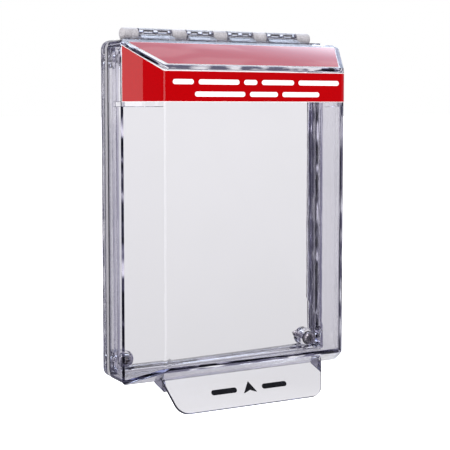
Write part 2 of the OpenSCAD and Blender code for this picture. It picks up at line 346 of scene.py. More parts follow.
def shaped(name: str, start: Surface, steps: Iterable[tuple[Boole, Surface]]) -> bpy.types.Mesh:
    """Mesh of one surface with others joined to it or cut from it in turn.

    Args:
        name: the mesh's name.
        start: the surface that the others change.
        steps: how each of the others acts, and its surface.

    Returns:
        The finished mesh.
    """
    scene = bpy.context.scene.collection
    body = bpy.data.objects.new(name + ".work", to_mesh(name, start))
    scene.objects.link(body)
    tools = []
    for number, (how, surface) in enumerate(steps):
        tool = bpy.data.objects.new(f"{name}.tool{number}", to_mesh(f"{name}.tool{number}", surface))
        scene.objects.link(tool)
        change = body.modifiers.new(how.name.lower(), "BOOLEAN")
        change.operation, change.object, change.solver = how.value, tool, "EXACT"
        tools.append(tool)
    bpy.context.view_layer.update()
    made = bpy.data.meshes.new_from_object(body.evaluated_get(bpy.context.evaluated_depsgraph_get()))
    made.name = name
    for used in [body, *tools]:
        mesh = used.data
        bpy.data.objects.remove(used)
        bpy.data.meshes.remove(mesh)
    return made


@dataclass(frozen=True)
class Dress:
    """How a new piece is placed and finished.

    Args:
        body: the body that it rides on.
        finish: its material.
        slot: the record's material slot; not used.
        nodes: CAD nodes that it stands for.
        crease: angle over which an edge stays sharp, in degrees.
    """

    body: Body
    finish: bpy.types.Material
    slot: str
    nodes: tuple[str, ...] = ()
    crease: float = 35.0


def piece(name: str, form: Surface | bpy.types.Mesh, dress: Dress) -> bpy.types.Object:
    """New piece of the object, in place and finished.

    Args:
        name: the piece's name.
        form: its surface or its finished mesh.
        dress: its body, material, CAD nodes and crease.

    Returns:
        The Blender object.
    """
    mesh = to_mesh(name, form) if isinstance(form, Surface) else form
    mesh.materials.clear()
    mesh.materials.append(dress.finish)
    mesh.shade_smooth()
    mesh.set_sharp_from_angle(angle=math.radians(dress.crease))
    made = bpy.data.objects.new(name, mesh)
    bpy.context.scene.collection.objects.link(made)
    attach(made, dress.body.value)
    if dress.nodes:
        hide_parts(*dress.nodes)
    log.info("%s: %d corners, %d faces", name, len(mesh.vertices), len(mesh.polygons))
    return made


# ---------- shader groups ----------


class Group:
    """A shader node group that is filled in by its subclass.

    Args:
        name: the group's name.
        inputs: name, socket type and default of each input.
        outputs: name and socket type of each output.
    """

    def __init__(self, name: str, inputs: Sequence[tuple], outputs: Sequence[tuple]) -> None:
        """Makes the group's tree and its sockets, and fills it in."""
        self.tree = bpy.data.node_groups.new(name, "ShaderNodeTree")
        for label, kind, start in inputs:
            made = self.tree.interface.new_socket(label, in_out="INPUT", socket_type=kind)
            made.default_value = start
        for label, kind in outputs:
            self.tree.interface.new_socket(label, in_out="OUTPUT", socket_type=kind)
        self.entry = self.tree.nodes.new("NodeGroupInput")
        self.exit = self.tree.nodes.new("NodeGroupOutput")
        self.fill()

    def fill(self) -> None:
        """Adds the group's own nodes."""
        raise NotImplementedError

    def add(self, kind: str, links: dict | None = None, **settings: object) -> bpy.types.Node:
        """Adds a node to the group; see wired."""
        return wired(self.tree, kind, links, **settings)

    def give(self, label: str, socket: bpy.types.NodeSocket) -> None:
        """Joins a socket to one of the group's outputs."""
        self.tree.links.new(socket, self.exit.inputs[label])


def wired(
    tree: bpy.types.NodeTree, kind: str, links: dict | None = None, **settings: object,
) -> bpy.types.Node:
    """Adds a node, sets its options and joins or sets its inputs.

    Args:
        tree: the tree that gets it.
        kind: the node's type name without its ShaderNode prefix.
        links: for each input, by name or number, a socket to join or a value to set.
        settings: the node's own options.

    Returns:
        The node.
    """
    node = tree.nodes.new("ShaderNode" + kind)
    for option, value in settings.items():
        setattr(node, option, value)
    for label, source in (links or {}).items():
        if isinstance(source, bpy.types.NodeSocket):
            tree.links.new(source, node.inputs[label])
        else:
            node.inputs[label].default_value = source
    return node


def mixed(
    tree: bpy.types.NodeTree, share: bpy.types.NodeSocket, one: bpy.types.NodeSocket,
    two: Sequence[float], how: str = "MIX",
) -> bpy.types.NodeSocket:
    """Mixes a colour with a fixed one.

    Args:
        tree: the tree that gets the node.
        share: how far the second colour takes over.
        one: the first colour.
        two: the second colour.
        how: the mix node's blend type.

    Returns:
        The mixed colour.
    """
    links = {0: share, 6: one, 7: (*two, 1.0)}
    return wired(tree, "Mix", links, data_type="RGBA", blend_type=how).outputs[2]


FLOAT, VECTOR = "NodeSocketFloat", "NodeSocketVector"


class FlowWaves(Group):
    """Long shallow waves that moulding or lamination leaves in a glossy skin."""

    def __init__(self) -> None:
        """Names the group and its sockets."""
        super().__init__(
            "flow_waves",
            [("Vector", VECTOR, (0, 0, 0)), ("Scale", FLOAT, 20.0), ("Stretch", FLOAT, 4.0)],
            [("Height", FLOAT)],
        )

    def fill(self) -> None:
        """Noise that is drawn out along z, with a finer ripple on it."""
        longer = self.add("CombineXYZ", {0: 1.0, 1: 1.0})
        shorter = self.add("Math", {0: 1.0, 1: self.entry.outputs["Stretch"]}, operation="DIVIDE")
        self.tree.links.new(shorter.outputs[0], longer.inputs[2])
        place = self.add(
            "VectorMath", {0: self.entry.outputs["Vector"], 1: longer.outputs[0]}, operation="MULTIPLY"
        )
        broad = self.add(
            "TexNoise", {
                "Vector": place.outputs[0], "Scale": self.entry.outputs["Scale"], "Detail": 1.0,
            }
        )
        finer = self.add("Math", {0: self.entry.outputs["Scale"], 1: 6.0}, operation="MULTIPLY")
        ripple = self.add(
            "TexNoise", {"Vector": place.outputs[0], "Scale": finer.outputs[0], "Detail": 2.0}
        )
        small = self.add("Math", {0: ripple.outputs["Fac"], 1: 0.4}, operation="MULTIPLY")
        total = self.add("Math", {0: broad.outputs["Fac"], 1: small.outputs[0]}, operation="ADD")
        self.give("Height", total.outputs[0])


class HandlingWear(Group):
    """Hairline scratches and faint smears of a surface that is wiped and handled."""

    def __init__(self) -> None:
        """Names the group and its sockets."""
        super().__init__(
            "handling_wear",
            [("Vector", VECTOR, (0, 0, 0)), ("Scale", FLOAT, 90.0), ("Spread", FLOAT, 0.5)],
            [("Scratches", FLOAT), ("Smears", FLOAT)],
        )

    def fill(self) -> None:
        """Thin lines where a warped wave crosses its crest, and a broad noise mask for smears."""
        warp = self.add("TexNoise", {"Vector": self.entry.outputs["Vector"], "Scale": 14.0})
        turned = self.add(
            "VectorMath", {0: self.entry.outputs["Vector"], 1: warp.outputs["Color"]}, operation="ADD"
        )
        lines = self.add(
            "TexWave",
            {"Vector": turned.outputs[0], "Scale": self.entry.outputs["Scale"], "Distortion": 14.0,
             "Detail": 2.0},
        )
        thin = self.add(
            "MapRange", {"Value": lines.outputs["Fac"], "From Min": 0.985, "From Max": 1.0}
        )
        broad = self.add(
            "TexNoise", {"Vector": self.entry.outputs["Vector"], "Scale": 22.0, "Detail": 4.0},
        )
        patch = self.add(
            "MapRange", {"Value": broad.outputs["Fac"], "From Min": 0.45, "From Max": 0.75}
        )
        kept = self.add("Math", {0: thin.outputs[0], 1: patch.outputs[0]}, operation="MULTIPLY")
        self.give("Scratches", kept.outputs[0])
        smear = self.add(
            "Math", {0: patch.outputs[0], 1: self.entry.outputs["Spread"]}, operation="MULTIPLY"
        )
        self.give("Smears", smear.outputs[0])


class MouldedGrain(Group):
    """Fine grain of a frosted or open surface."""

    def __init__(self) -> None:
        """Names the group and its sockets."""
        super().__init__(
            "moulded_grain",
            [("Vector", VECTOR, (0, 0, 0)), ("Scale", FLOAT, 900.0), ("Pores", FLOAT, 0.0)],
            [("Height", FLOAT), ("Shade", FLOAT)],
        )

    def fill(self) -> None:
        """Fine noise, from which round cells are taken as far as Pores asks."""
        fine = self.add(
            "TexNoise",
            {
                "Vector": self.entry.outputs["Vector"], "Scale": self.entry.outputs["Scale"],
                "Detail": 3.0,
            },
        )
        cells = self.add(
            "TexVoronoi", {"Vector": self.entry.outputs["Vector"], "Scale": self.entry.outputs["Scale"]}
        )
        bowl = self.add(
            "MapRange", {"Value": cells.outputs["Distance"], "From Min": 0.1, "From Max": 0.55}
        )
        both = self.add(
            "Mix", {0: self.entry.outputs["Pores"], 2: fine.outputs["Fac"], 3: bowl.outputs[0]}
        )
        self.give("Height", both.outputs[0])
        broad = self.add("TexNoise", {"Vector": self.entry.outputs["Vector"], "Scale": 60.0})
        shade = self.add("Math", {0: broad.outputs["Fac"], 1: both.outputs[0]}, operation="MULTIPLY")
        self.give("Shade", shade.outputs[0])


@dataclass(frozen=True)
class Groups:
    """The shader groups that the finishes share."""

    waves: bpy.types.NodeTree
    wear: bpy.types.NodeTree
    grain: bpy.types.NodeTree

    @classmethod
    def built(cls) -> "Groups":
        """Builds each group once."""
        return cls(FlowWaves().tree, HandlingWear().tree, MouldedGrain().tree)


# ---------- finishes ----------


class Paint:
    """A material in the making: its tree, its shader and its object coordinates.

    Args:
        name: the material's name.
        groups: the shared shader groups.
    """

    def __init__(self, name: str, groups: Groups) -> None:
        """Makes an empty material."""
        self.material = bpy.data.materials.new(name)
        self.material.use_nodes = True
        self.tree = self.material.node_tree
        self.shader = self.tree.nodes["Principled BSDF"]
        self.place = wired(self.tree, "TexCoord").outputs["Object"]
        self.groups = groups

    def add(self, kind: str, links: dict | None = None, **settings: object) -> bpy.types.Node:
        """Adds a node to the material; see wired."""
        return wired(self.tree, kind, links, **settings)

    def group(self, tree: bpy.types.NodeTree, **values: float) -> bpy.types.Node:
        """Places a shared group, with its inputs set by name.

        Args:
            tree: the group.
            values: its inputs other than Vector.

        Returns:
            The group node.
        """
        node = self.tree.nodes.new("ShaderNodeGroup")
        node.node_tree = tree
        self.tree.links.new(self.place, node.inputs["Vector"])
        for label, value in values.items():
            node.inputs[label].default_value = value
        return node

    def set(self, **values: object) -> None:
        """Sets or joins the shader's inputs.

        Args:
            values: a value or a socket for each input, with _ for each space in the input's name.
        """
        for label, value in values.items():
            socket = self.shader.inputs[label.replace("_", " ")]
            if isinstance(value, bpy.types.NodeSocket):
                self.tree.links.new(value, socket)
            else:
                socket.default_value = value

    def span(self, value: bpy.types.NodeSocket, low: float, high: float) -> bpy.types.NodeSocket:
        """Spreads a mask of 0 to 1 over another range."""
        return self.add("MapRange", {"Value": value, "To Min": low, "To Max": high}).outputs[0]

    def blend(
        self, value: bpy.types.NodeSocket, one: Sequence[float], two: Sequence[float],
    ) -> bpy.types.NodeSocket:
        """Mixes two colours by a mask."""
        mix = self.add("Mix", {0: value, 6: (*one, 1.0), 7: (*two, 1.0)}, data_type="RGBA")
        return mix.outputs[2]

    def bump(self, height: bpy.types.NodeSocket, depth: float, strength: float = 1.0) -> None:
        """Bumps the surface by a height, with its depth in metres."""
        node = self.add("Bump", {"Height": height, "Distance": depth, "Strength": strength})
        self.set(Normal=node.outputs[0])


class Finish:
    """A finish of the object; its subclass says how the material is filled in."""

    name: str

    def fill(self, paint: Paint) -> None:
        """Fills in the material."""
        raise NotImplementedError

    def made(self, groups: Groups) -> bpy.types.Material:
        """Builds the material.

        Args:
            groups: the shared shader groups.

        Returns:
            The material.
        """
        paint = Paint(self.name, groups)
        self.fill(paint)
        return paint.material


@dataclass(frozen=True)
class ClearPlastic(Finish):
    """Polished clear polycarbonate.

    Args:
        name: the material's name.
        tint: colour that two faces together let through.
        edge: colour where smears lie.
        smooth: roughness of the clean skin.
        rough: roughness of its scratches and smears.
        wave: depth of the moulding waves, in metres.
        wave_scale: how many waves there are to a metre.
        painted_dashes: how many dashes to a metre a noise paints into the light that leaves the wall.
        trapped: painted shade, the colour of the dark dashes that stand in for dark reflections along
            the edges.
        glint: painted highlight, the colour of the glints between the dashes.
        rim: painted shade, the colour that darkens a plate's rims and other faces that do not look
            along face.
        face: direction that the plate's faces look in; None leaves out the painted rim shade.
    """

    name: str
    tint: tuple[float, float, float] = (0.9, 0.889, 0.93)
    edge: tuple[float, float, float] = (0.86, 0.855, 0.885)
    smooth: float = 0.0
    rough: float = 0.08
    wave: float = 0.00006
    wave_scale: float = 26.0
    painted_dashes: float = 75.0
    trapped: tuple[float, float, float] = (0.15, 0.145, 0.21)
    glint: tuple[float, float, float] = (0.95, 0.94, 0.99)
    rim: tuple[float, float, float] = (0.3, 0.29, 0.36)
    face: tuple[float, float, float] | None = None

    def fill(self, paint: Paint) -> None:
        """Fills in the material."""
        wear = paint.group(paint.groups.wear, Scale=70.0, Spread=0.35)
        waves = paint.group(paint.groups.waves, Scale=self.wave_scale, Stretch=5.0)
        both = paint.add(
            "Math", {0: wear.outputs["Scratches"], 1: wear.outputs["Smears"]}, operation="MAXIMUM"
        )
        colour = paint.blend(both.outputs[0], self.tint, self.edge)
        # Painted shade: faces that turn away from the plate's direction are mixed towards the rim
        # colour.
        if self.face is not None:
            normal = paint.add("TexCoord").outputs["Normal"]
            facing = paint.add("VectorMath", {0: normal, 1: self.face}, operation="DOT_PRODUCT")
            level = paint.add("Math", {0: facing.outputs["Value"]}, operation="ABSOLUTE")
            rims = paint.add(
                "MapRange", {
                    "Value": level.outputs[0], "From Min": 0.85, "From Max": 0.97, "To Min": 1.0,
                    "To Max": 0.0,
                }
            )
            colour = mixed(paint.tree, rims.outputs[0], colour, self.rim)
        paint.set(
            Base_Color=colour,
            Roughness=paint.span(wear.outputs["Scratches"], self.smooth, self.rough),
            IOR=1.585,
            Transmission_Weight=1.0,
        )
        paint.bump(waves.outputs["Height"], self.wave)
        self.let_lamps_through(paint)

    def let_lamps_through(self, paint: Paint) -> None:
        """Lets lamps shine through the wall with its tint, and lets trapped light out of it.

        Light that has been mirrored several times inside the wall leaves it through a colour that a
        noise paints in dashes, so the edges show painted dark dashes and painted glints in place of
        reflections.

        Args:
            paint: the material.
        """
        output = paint.tree.nodes["Material Output"]
        path = paint.add("LightPath")
        clear = paint.add("BsdfTransparent", {"Color": (*self.tint, 1.0)})
        # Painted shade and painted highlight: this noise paints the dark dashes and the glints along
        # the edges.
        painted_dashes = paint.add("TexNoise", {"Vector": paint.place, "Scale": self.painted_dashes, "Detail": 1.0})
        mask = paint.add(
            "MapRange", {"Value": painted_dashes.outputs["Fac"], "From Min": 0.48, "From Max": 0.6},
        )
        painted_dash_exit = paint.add(
            "BsdfTransparent", {"Color": paint.blend(mask.outputs[0], self.trapped, self.glint)},
        )
        lamps = paint.add(
            "MixShader", {
                0: path.outputs["Is Shadow Ray"], 1: paint.shader.outputs[0], 2: clear.outputs[0],
            }
        )
        deep = paint.add("Math", {0: path.outputs["Glossy Depth"], 1: 3.5}, operation="GREATER_THAN")
        mix = paint.add("MixShader", {0: deep.outputs[0], 1: lamps.outputs[0], 2: painted_dash_exit.outputs[0]})
        paint.tree.links.new(mix.outputs[0], output.inputs["Surface"])


@dataclass(frozen=True)
class FrostedNylon(Finish):
    """Frosted light nylon with a fine moulded grain."""

    name: str = "frosted_nylon"
    light: tuple[float, float, float] = (0.74, 0.71, 0.73)
    dark: tuple[float, float, float] = (0.2, 0.19, 0.2)

    def fill(self, paint: Paint) -> None:
        """Fills in the material."""
        grain = paint.group(paint.groups.grain, Scale=1100.0, Pores=0.25)
        paint.set(
            Base_Color=paint.blend(paint.span(grain.outputs["Shade"], 0.0, 2.2), self.dark, self.light),
            Roughness=paint.span(grain.outputs["Height"], 0.22, 0.55),
            IOR=1.53,
            Subsurface_Weight=0.3,
            Subsurface_Radius=(0.002, 0.002, 0.002),
            Subsurface_Scale=0.5,
        )
        paint.bump(grain.outputs["Height"], 0.00025)


@dataclass(frozen=True)
class SoftSeal(Finish):
    """Rubber with pores and dust.

    Args:
        name: the material's name.
        dark: colour of the clean surface.
        dusty: colour where dust lies.
        pores: how open the cells are, from 0 to 1.
        scale: how many cells there are to a metre.
        depth: depth of the cells, in metres.
        rough: roughness.
    """

    name: str
    dark: tuple[float, float, float]
    dusty: tuple[float, float, float]
    pores: float
    scale: float
    depth: float
    rough: float

    def fill(self, paint: Paint) -> None:
        """Fills in the material."""
        grain = paint.group(paint.groups.grain, Scale=self.scale, Pores=self.pores)
        wear = paint.group(paint.groups.wear, Scale=40.0, Spread=0.6)
        paint.set(
            Base_Color=paint.blend(wear.outputs["Smears"], self.dark, self.dusty),
            Roughness=paint.span(grain.outputs["Shade"], self.rough, min(1.0, self.rough + 0.25)),
        )
        paint.bump(grain.outputs["Height"], self.depth)


@dataclass(frozen=True)
class BrightSteel(Finish):
    """Plated or drawn steel.

    Args:
        name: the material's name.
        bright: colour of the clean metal.
        dull: colour where it is handled.
        rough: roughness of the clean metal.
    """

    name: str
    bright: tuple[float, float, float]
    dull: tuple[float, float, float]
    rough: float

    def fill(self, paint: Paint) -> None:
        """Fills in the material."""
        wear = paint.group(paint.groups.wear, Scale=220.0, Spread=0.8)
        grain = paint.group(paint.groups.grain, Scale=2600.0, Pores=0.0)
        paint.set(
            Base_Color=paint.blend(wear.outputs["Smears"], self.bright, self.dull),
            Roughness=paint.span(wear.outputs["Smears"], self.rough, self.rough + 0.18),
            Metallic=1.0,
        )
        paint.bump(grain.outputs["Height"], 0.00003)


@dataclass(frozen=True)
class GlossFilm(Finish):
    """Printed vinyl film under a gloss coat.

    Args:
        name: the material's name.
        ink: colour of the print.
        faded: colour of the print where it has faded a little.
        coat: weight of the gloss coat.
        rough: roughness under the coat.
        peel: depth of the film's orange peel, in metres.
    """

    name: str
    ink: tuple[float, float, float]
    faded: tuple[float, float, float]
    coat: float = 1.0
    rough: float = 0.28
    peel: float = 0.000012

    def fill(self, paint: Paint) -> None:
        """Fills in the material."""
        waves = paint.group(paint.groups.waves, Scale=60.0, Stretch=1.0)
        wear = paint.group(paint.groups.wear, Scale=60.0, Spread=0.5)
        paint.set(
            Base_Color=paint.blend(wear.outputs["Smears"], self.ink, self.faded),
            Roughness=paint.span(wear.outputs["Scratches"], self.rough, self.rough + 0.2),
            Specular_IOR_Level=0.0,
            Coat_Weight=self.coat,
            Coat_Roughness=0.0,
            Coat_IOR=1.5,
        )
        paint.bump(waves.outputs["Height"], self.peel)


@dataclass(frozen=True)
class Finishes:
    """Every material of the object."""

    cover: bpy.types.Material
    frame: bpy.types.Material
    leaf: bpy.types.Material
    tab: bpy.types.Material
    nylon: bpy.types.Material
    gasket: bpy.types.Material
    rubber: bpy.types.Material
    washer: bpy.types.Material
    pin: bpy.types.Material
    screw: bpy.types.Material
    red: bpy.types.Material
    white: bpy.types.Material
    black: bpy.types.Material

    @classmethod
    def built(cls, groups: Groups) -> "Finishes":
        """Builds every material.

        Args:
            groups: the shared shader groups.

        Returns:
            The set of materials.
        """
        return cls(
            cover=ClearPlastic("clear_cover").made(groups),
            frame=ClearPlastic(
                "clear_frame", (0.94, 0.932, 0.965), wave=0.0001, wave_scale=60.0,
            ).made(groups),
            leaf=ClearPlastic(
                "clear_leaf", (0.7, 0.685, 0.72), (0.5, 0.49, 0.52), 0.2, 0.4, 0.0003, 160.0,
            ).made(groups),
            # Painted shade along the tab's outline and root: darker painted dashes, dimmer painted
            # glints and painted rim shade.
            tab=ClearPlastic(
                "clear_tab", wave=0.00004, trapped=(0.1, 0.1, 0.13), glint=(0.3, 0.29, 0.35),
                face=(0.0, -0.866, 0.5),
            ).made(groups),
            nylon=FrostedNylon().made(groups),
            gasket=ClearPlastic(
                "gasket_clear", (0.62, 0.61, 0.64), (0.5, 0.49, 0.51), 0.12, 0.3, 0.0002, 120.0,
            ).made(groups),
            rubber=SoftSeal(
                "seal_rubber", (0.012, 0.012, 0.014), (0.05, 0.05, 0.055), 0.1, 700.0, 0.0001, 0.4,
            ).made(groups),
            washer=SoftSeal(
                "washer_rubber", (0.02, 0.02, 0.022), (0.06, 0.06, 0.06), 0.0, 900.0, 0.00005, 0.5,
            ).made(groups),
            pin=BrightSteel("pin_steel", (0.6, 0.6, 0.62), (0.42, 0.42, 0.44), 0.22).made(groups),
            screw=BrightSteel("screw_steel", (0.82, 0.79, 0.77), (0.5, 0.47, 0.45), 0.24).made(groups),
            red=GlossFilm("red_label", (0.395, 0.0, 0.001), (0.35, 0.001, 0.002)).made(groups),
            white=GlossFilm("white_ink", (0.9, 0.9, 0.9), (0.8, 0.8, 0.8), coat=0.3).made(groups),
            black=GlossFilm(
                "black_ink", (0.01, 0.01, 0.012), (0.03, 0.03, 0.034), coat=0.4,
            ).made(groups),
        )


# ---------- wall side ----------


@dataclass
class WallSide:
    """Gasket, clear frame, seal, screws and washers, which stay on the wall."""

    corner: float = 6.0 * MM  # corner radius of the frame and the gasket
    rim_t: float = 2.5 * MM  # thickness of the flange outside the dam
    ledge_t: float = 6.0 * MM  # thickness of the ledge inside the dam
    ledge_side: float = 2.7 * MM  # width of that ledge at the sides
    ledge_end: float = 0.3 * MM  # width of that ledge at the top and foot
    dam_t: float = 2.4 * MM  # thickness of the rain dam
    dam_reach: float = 16.5 * MM  # from the wall to the dam's crest
    seal_gap: float = 0.2 * MM  # between the seal and the dam
    seal_w: float = 3.0 * MM  # width of the seal
    seal_corner: float = 4.5 * MM  # outer corner radius of the seal
    gasket_w: float = 5.0 * MM  # width of the gasket
    boss_r: float = 6.2 * MM  # radius of a screw boss
    boss_h: float = 8.5 * MM  # from the wall to a boss's front
    bore_r: float = 2.3 * MM  # radius of the bore for a screw
    head_room: float = 4.8 * MM  # radius of the room round a screw's head
    head_r: float = 4.2 * MM  # radius of a screw's head
    touch: float = 0.05 * MM  # clearance between pieces that meet
    ease: float = 0.35 * MM  # radius of the frame's edges
    neck_r: float = 1.7 * MM  # radius of a screw under its head
    recess_long: float = 2.2 * MM  # half length of each slot of the recess
    recess_wide: float = 0.5 * MM  # half width of each slot
    recess_deep: float = 2.2 * MM  # length of the cutter that makes a slot
    washer_r: float = 4.6 * MM  # outer radius of a washer
    washer_hole: float = 2.4 * MM  # radius of a washer's hole
    thread_r: float = 2.1 * MM  # radius over the thread
    core_r: float = 1.65 * MM  # radius where the thread starts
    point_len: float = 4.0 * MM  # length of the screw's point
    thread_pitch: float = 1.6 * MM  # rise of the thread in one turn
    thread_deep: float = 0.55 * MM  # depth of the thread
    made: list[bpy.types.Object] = field(default_factory=list)

    def build(self, finishes: Finishes) -> None:
        """Builds and dresses every piece on the wall side.

        Args:
            finishes: the materials.
        """
        low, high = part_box("wall_gasket")
        self.half = np.array([high.x, high.z])
        self.gasket_t = -low.y
        seal_low, seal_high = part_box("cover_seal")
        self.seal_half = np.array([seal_high.x, seal_high.z])
        self.seal_y = (seal_high.y, seal_low.y)
        rail_low, rail_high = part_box("hinge_rail")
        self.rail_half, self.rail_foot = rail_high.x, rail_low.z
        screws_low, screws_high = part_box("frame_screws")
        washer_low, washer_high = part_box("screw_washers")
        self.screw_at = np.array([screws_high.x, screws_high.z]) - self.head_r
        self.screw_y = (screws_high.y, screws_low.y)
        self.washer_y = (washer_high.y, washer_low.y)
        parts = [
            ("wall_gasket_clear", self.gasket(), finishes.gasket, "gasket_clear", "wall_gasket"),
            ("clear_wall_frame", self.clear_frame(), finishes.frame, "clear_frame", "wall_frame"),
            ("cover_seal_rubber", self.seal(), finishes.rubber, "seal_rubber", "cover_seal"),
            ("wall_screws_threaded", self.screws(), finishes.screw, "screw_steel", "frame_screws"),
            ("screw_washers_rubber", self.washers(), finishes.washer, "washer_rubber", "screw_washers"),
        ]
        self.made = [
            piece(name, form, Dress(Body.FRAME, finish, slot, (node,)))
            for name, form, finish, slot, node in parts
        ]

    def ring(
        self, section_x: Array, section_z: Array, half: Array, corner: float, least: float,
    ) -> Surface:
        """Ring whose section is carried round a rounded rectangle.

        Args:
            section_x: (inset, y) of the section at the sides.
            section_z: (inset, y) of the section at the top and foot, point for point.
            half: outer half width and half height.
            corner: outer corner radius; a point's own radius is this less its inset.
            least: smallest corner radius.

        Returns:
            The closed surface.
        """
        radius = np.maximum(corner - np.minimum(section_x[:, 0], section_z[:, 0]), least)
        flat = soft_frame(half[0] - section_x[:, 0], half[1] - section_z[:, 0], radius)
        deep = np.broadcast_to(section_x[:, 1, None, None], flat.shape[:2] + (1,))
        return loft(np.concatenate([flat[..., :1], deep, flat[..., 1:]], -1), closed=True)

    def gasket(self) -> Surface:
        """Soft ring with its four long edges rounded.

        Returns:
            The closed surface.
        """
        w, t = self.gasket_w, self.gasket_t - self.touch
        section = outline([(0, 0), (0, -t), (w, -t), (w, 0)], 0.6 * MM)
        return self.ring(section, section, self.half, self.corner, 1.0 * MM)

    def frame_section(self, inner: float) -> Array:
        """Section of the clear frame as (inset, y): rim, ledge and rain dam.

        Args:
            inner: inset of the opening's wall.

        Returns:
            The rounded section.
        """
        dam_out = self.half[0] - self.dam_half
        dam_in = dam_out + self.dam_t
        back, rim = -self.gasket_t, -self.gasket_t - self.rim_t
        ledge, top = -self.gasket_t - self.ledge_t, -self.dam_reach
        corners = [(0, back), (0, rim), (dam_out, rim), (dam_out, top), (dam_in, top),
                   (dam_in, ledge), (inner, ledge), (inner, back)]
        e = self.ease
        return outline(corners, [e, e, e, 2 * e, 2 * e, 0.4 * e, 0.3 * e, e])

    def clear_frame(self) -> bpy.types.Mesh:
        """Clear frame with its screw bosses and the notch for the hinge rail.

        Returns:
            The finished mesh.
        """
        self.dam_half = self.seal_half[0] - self.seal_w - self.seal_gap
        dam_in = self.half[0] - self.dam_half + self.dam_t
        ring = self.ring(
            self.frame_section(dam_in + self.ledge_side),
            self.frame_section(dam_in + self.ledge_end),
            self.half, self.corner, 1.0 * MM,
        )
        steps: list[tuple[Boole, Surface]] = []
        for x, z in self.screw_places():
            r, e, high = self.boss_r, self.ease, self.boss_h
            boss = np.array([(r - e, 0), (r, -e), (r, e - high), (r - e, -high)])
            steps.append((Boole.JOIN, revolved(boss, (x, 0, z), 1)))
        for x, z in self.screw_places():
            bore, head, high = self.bore_r, self.head_room, self.boss_h
            room = np.array([(bore, MM), (bore, -high), (head, -high), (head, -self.dam_reach - MM)])
            steps.append((Boole.CUT, revolved(room, (x, 0, z), 1)))
        side, foot, top = self.rail_half + self.touch, self.rail_foot - self.touch, self.half[1] + MM
        notch = outline([(-side, foot), (side, foot), (side, top), (-side, top)], 0.2 * MM)
        steps.append((Boole.CUT, upright(notch, MM, -self.gasket_t - self.rim_t - MM)))
        return shaped("clear_wall_frame", ring, steps)

    def screw_places(self) -> list[tuple[float, float]]:
        """x and z of each screw."""
        x, z = self.screw_at
        return [(-x, -z), (x, -z), (-x, z), (x, z)]

    def seal(self) -> Surface:
        """Rubber seal with a rounded crown and a waist, carried round the frame.

        Returns:
            The closed surface.
        """
        back, front = self.seal_y[0] - self.touch, self.seal_y[1]
        w = self.seal_w
        deep = front - back
        half = [(0, back), (0, back + 0.3 * deep), (0.45 * MM, back + 0.5 * deep), (0.2 * MM, front)]
        radii = [0.1 * MM, 0.3 * MM, 0.4 * MM, 0.9 * MM]
        section = outline(half + [(w - x, y) for x, y in half[::-1]], radii + radii[::-1])
        return self.ring(section, section, self.seal_half, self.seal_corner, 1.5 * MM)

    def screws(self) -> bpy.types.Mesh:
        """Four pan-head screws with cross recesses and threads, as one mesh.

        Returns:
            The mesh.
        """
        head = self.screw_head()
        thread = self.screw_thread()
        mesh = bpy.data.meshes.new("wall_screws_threaded")
        edit = bmesh.new()
        for x, z in self.screw_places():
            for part in (head, thread):
                first = len(edit.verts)
                edit.from_mesh(part)
                edit.verts.ensure_lookup_table()
                bmesh.ops.translate(edit, verts=edit.verts[first:], vec=(x, 0, z))
        edit.to_mesh(mesh)
        edit.free()
        return mesh

    def screw_head(self) -> bpy.types.Mesh:
        """Pan head at x = z = 0: a low cylinder, a dome and a tapered cross recess.

        Returns:
            The finished mesh.
        """
        seat, top = self.washer_y[1], self.screw_y[1]
        high = seat - top
        turn = np.linspace(0.0, math.pi / 2, 9)
        dome = np.stack(
            [self.head_r * np.cos(turn) ** 0.55, seat - high * (0.35 + 0.65 * np.sin(turn))], 1,
        )
        dome[-1, 0] = 0.05 * MM
        neck = np.array([(self.neck_r, 0.0), (self.neck_r, seat), (self.head_r - 0.25 * MM, seat),
                         (self.head_r, seat - 0.25 * MM)])
        steps = []
        for turned in (False, True):
            long, wide = self.recess_long, self.recess_wide
            deep = np.array([0.0, 0.9, 1.0])
            shrink = np.array([1.0, 0.62, 0.3])
            shape = outline([(-long, -wide), (long, -wide), (long, wide), (-long, wide)], 0.15 * MM, 2)
            rows = np.zeros((3, len(shape), 3))
            rows[..., 2 if turned else 0] = shape[:, 0] * shrink[:, None]
            rows[..., 0 if turned else 2] = shape[:, 1] * (0.5 + shrink[:, None] / 2)
            rows[..., 1] = (top - 0.3 * MM + deep * self.recess_deep)[:, None]
            steps.append((Boole.CUT, loft(rows)))
        return shaped("screw_head", revolved(np.vstack([neck, dome]), (0, 0, 0), 1, 48), steps)

    def screw_thread(self) -> bpy.types.Mesh:
        """Threaded shank behind the wall: core radius plus a ridge that climbs one pitch a turn.

        Returns:
            The mesh.
        """
        outer, length = self.thread_r, self.screw_y[0]
        turns = length / self.thread_pitch
        rows, cols = int(turns * 10), 20
        along = np.linspace(0, length, rows)[:, None]
        turn = np.linspace(0, 2 * math.pi, cols, endpoint=False)[None]
        phase = (along / self.thread_pitch - turn / (2 * math.pi)) % 1.0
        ridge = np.clip(1.0 - np.abs(phase - 0.5) * 3.6, 0.0, 1.0)
        radius = outer - self.thread_deep * (1 - ridge)
        taper = np.clip((length - along) / self.point_len, 0.06, 1.0)
        fade = np.clip(along / (0.6 * MM), 0.0, 1.0)
        radius = (self.core_r + (radius - self.core_r) * fade) * taper
        points = np.stack(
            [radius * np.cos(turn), np.broadcast_to(along, radius.shape), radius * np.sin(turn)],
            -1,
        )
        return to_mesh("screw_thread", loft(points))

    def washers(self) -> Surface:
        """Four thin rubber washers under the heads.

        Returns:
            All four as one surface.
        """
        back, front = self.washer_y[0] - self.touch, self.washer_y[1]
        r, e = self.washer_r, 0.2 * MM
        outer = np.array([(r - e, back), (r, back - e), (r, front + e), (r - e, front)])
        inner = np.array([(self.washer_hole, back), (self.washer_hole, front)])
        return together([tube(outer, inner, (x, 0, z), 1) for x, z in self.screw_places()])


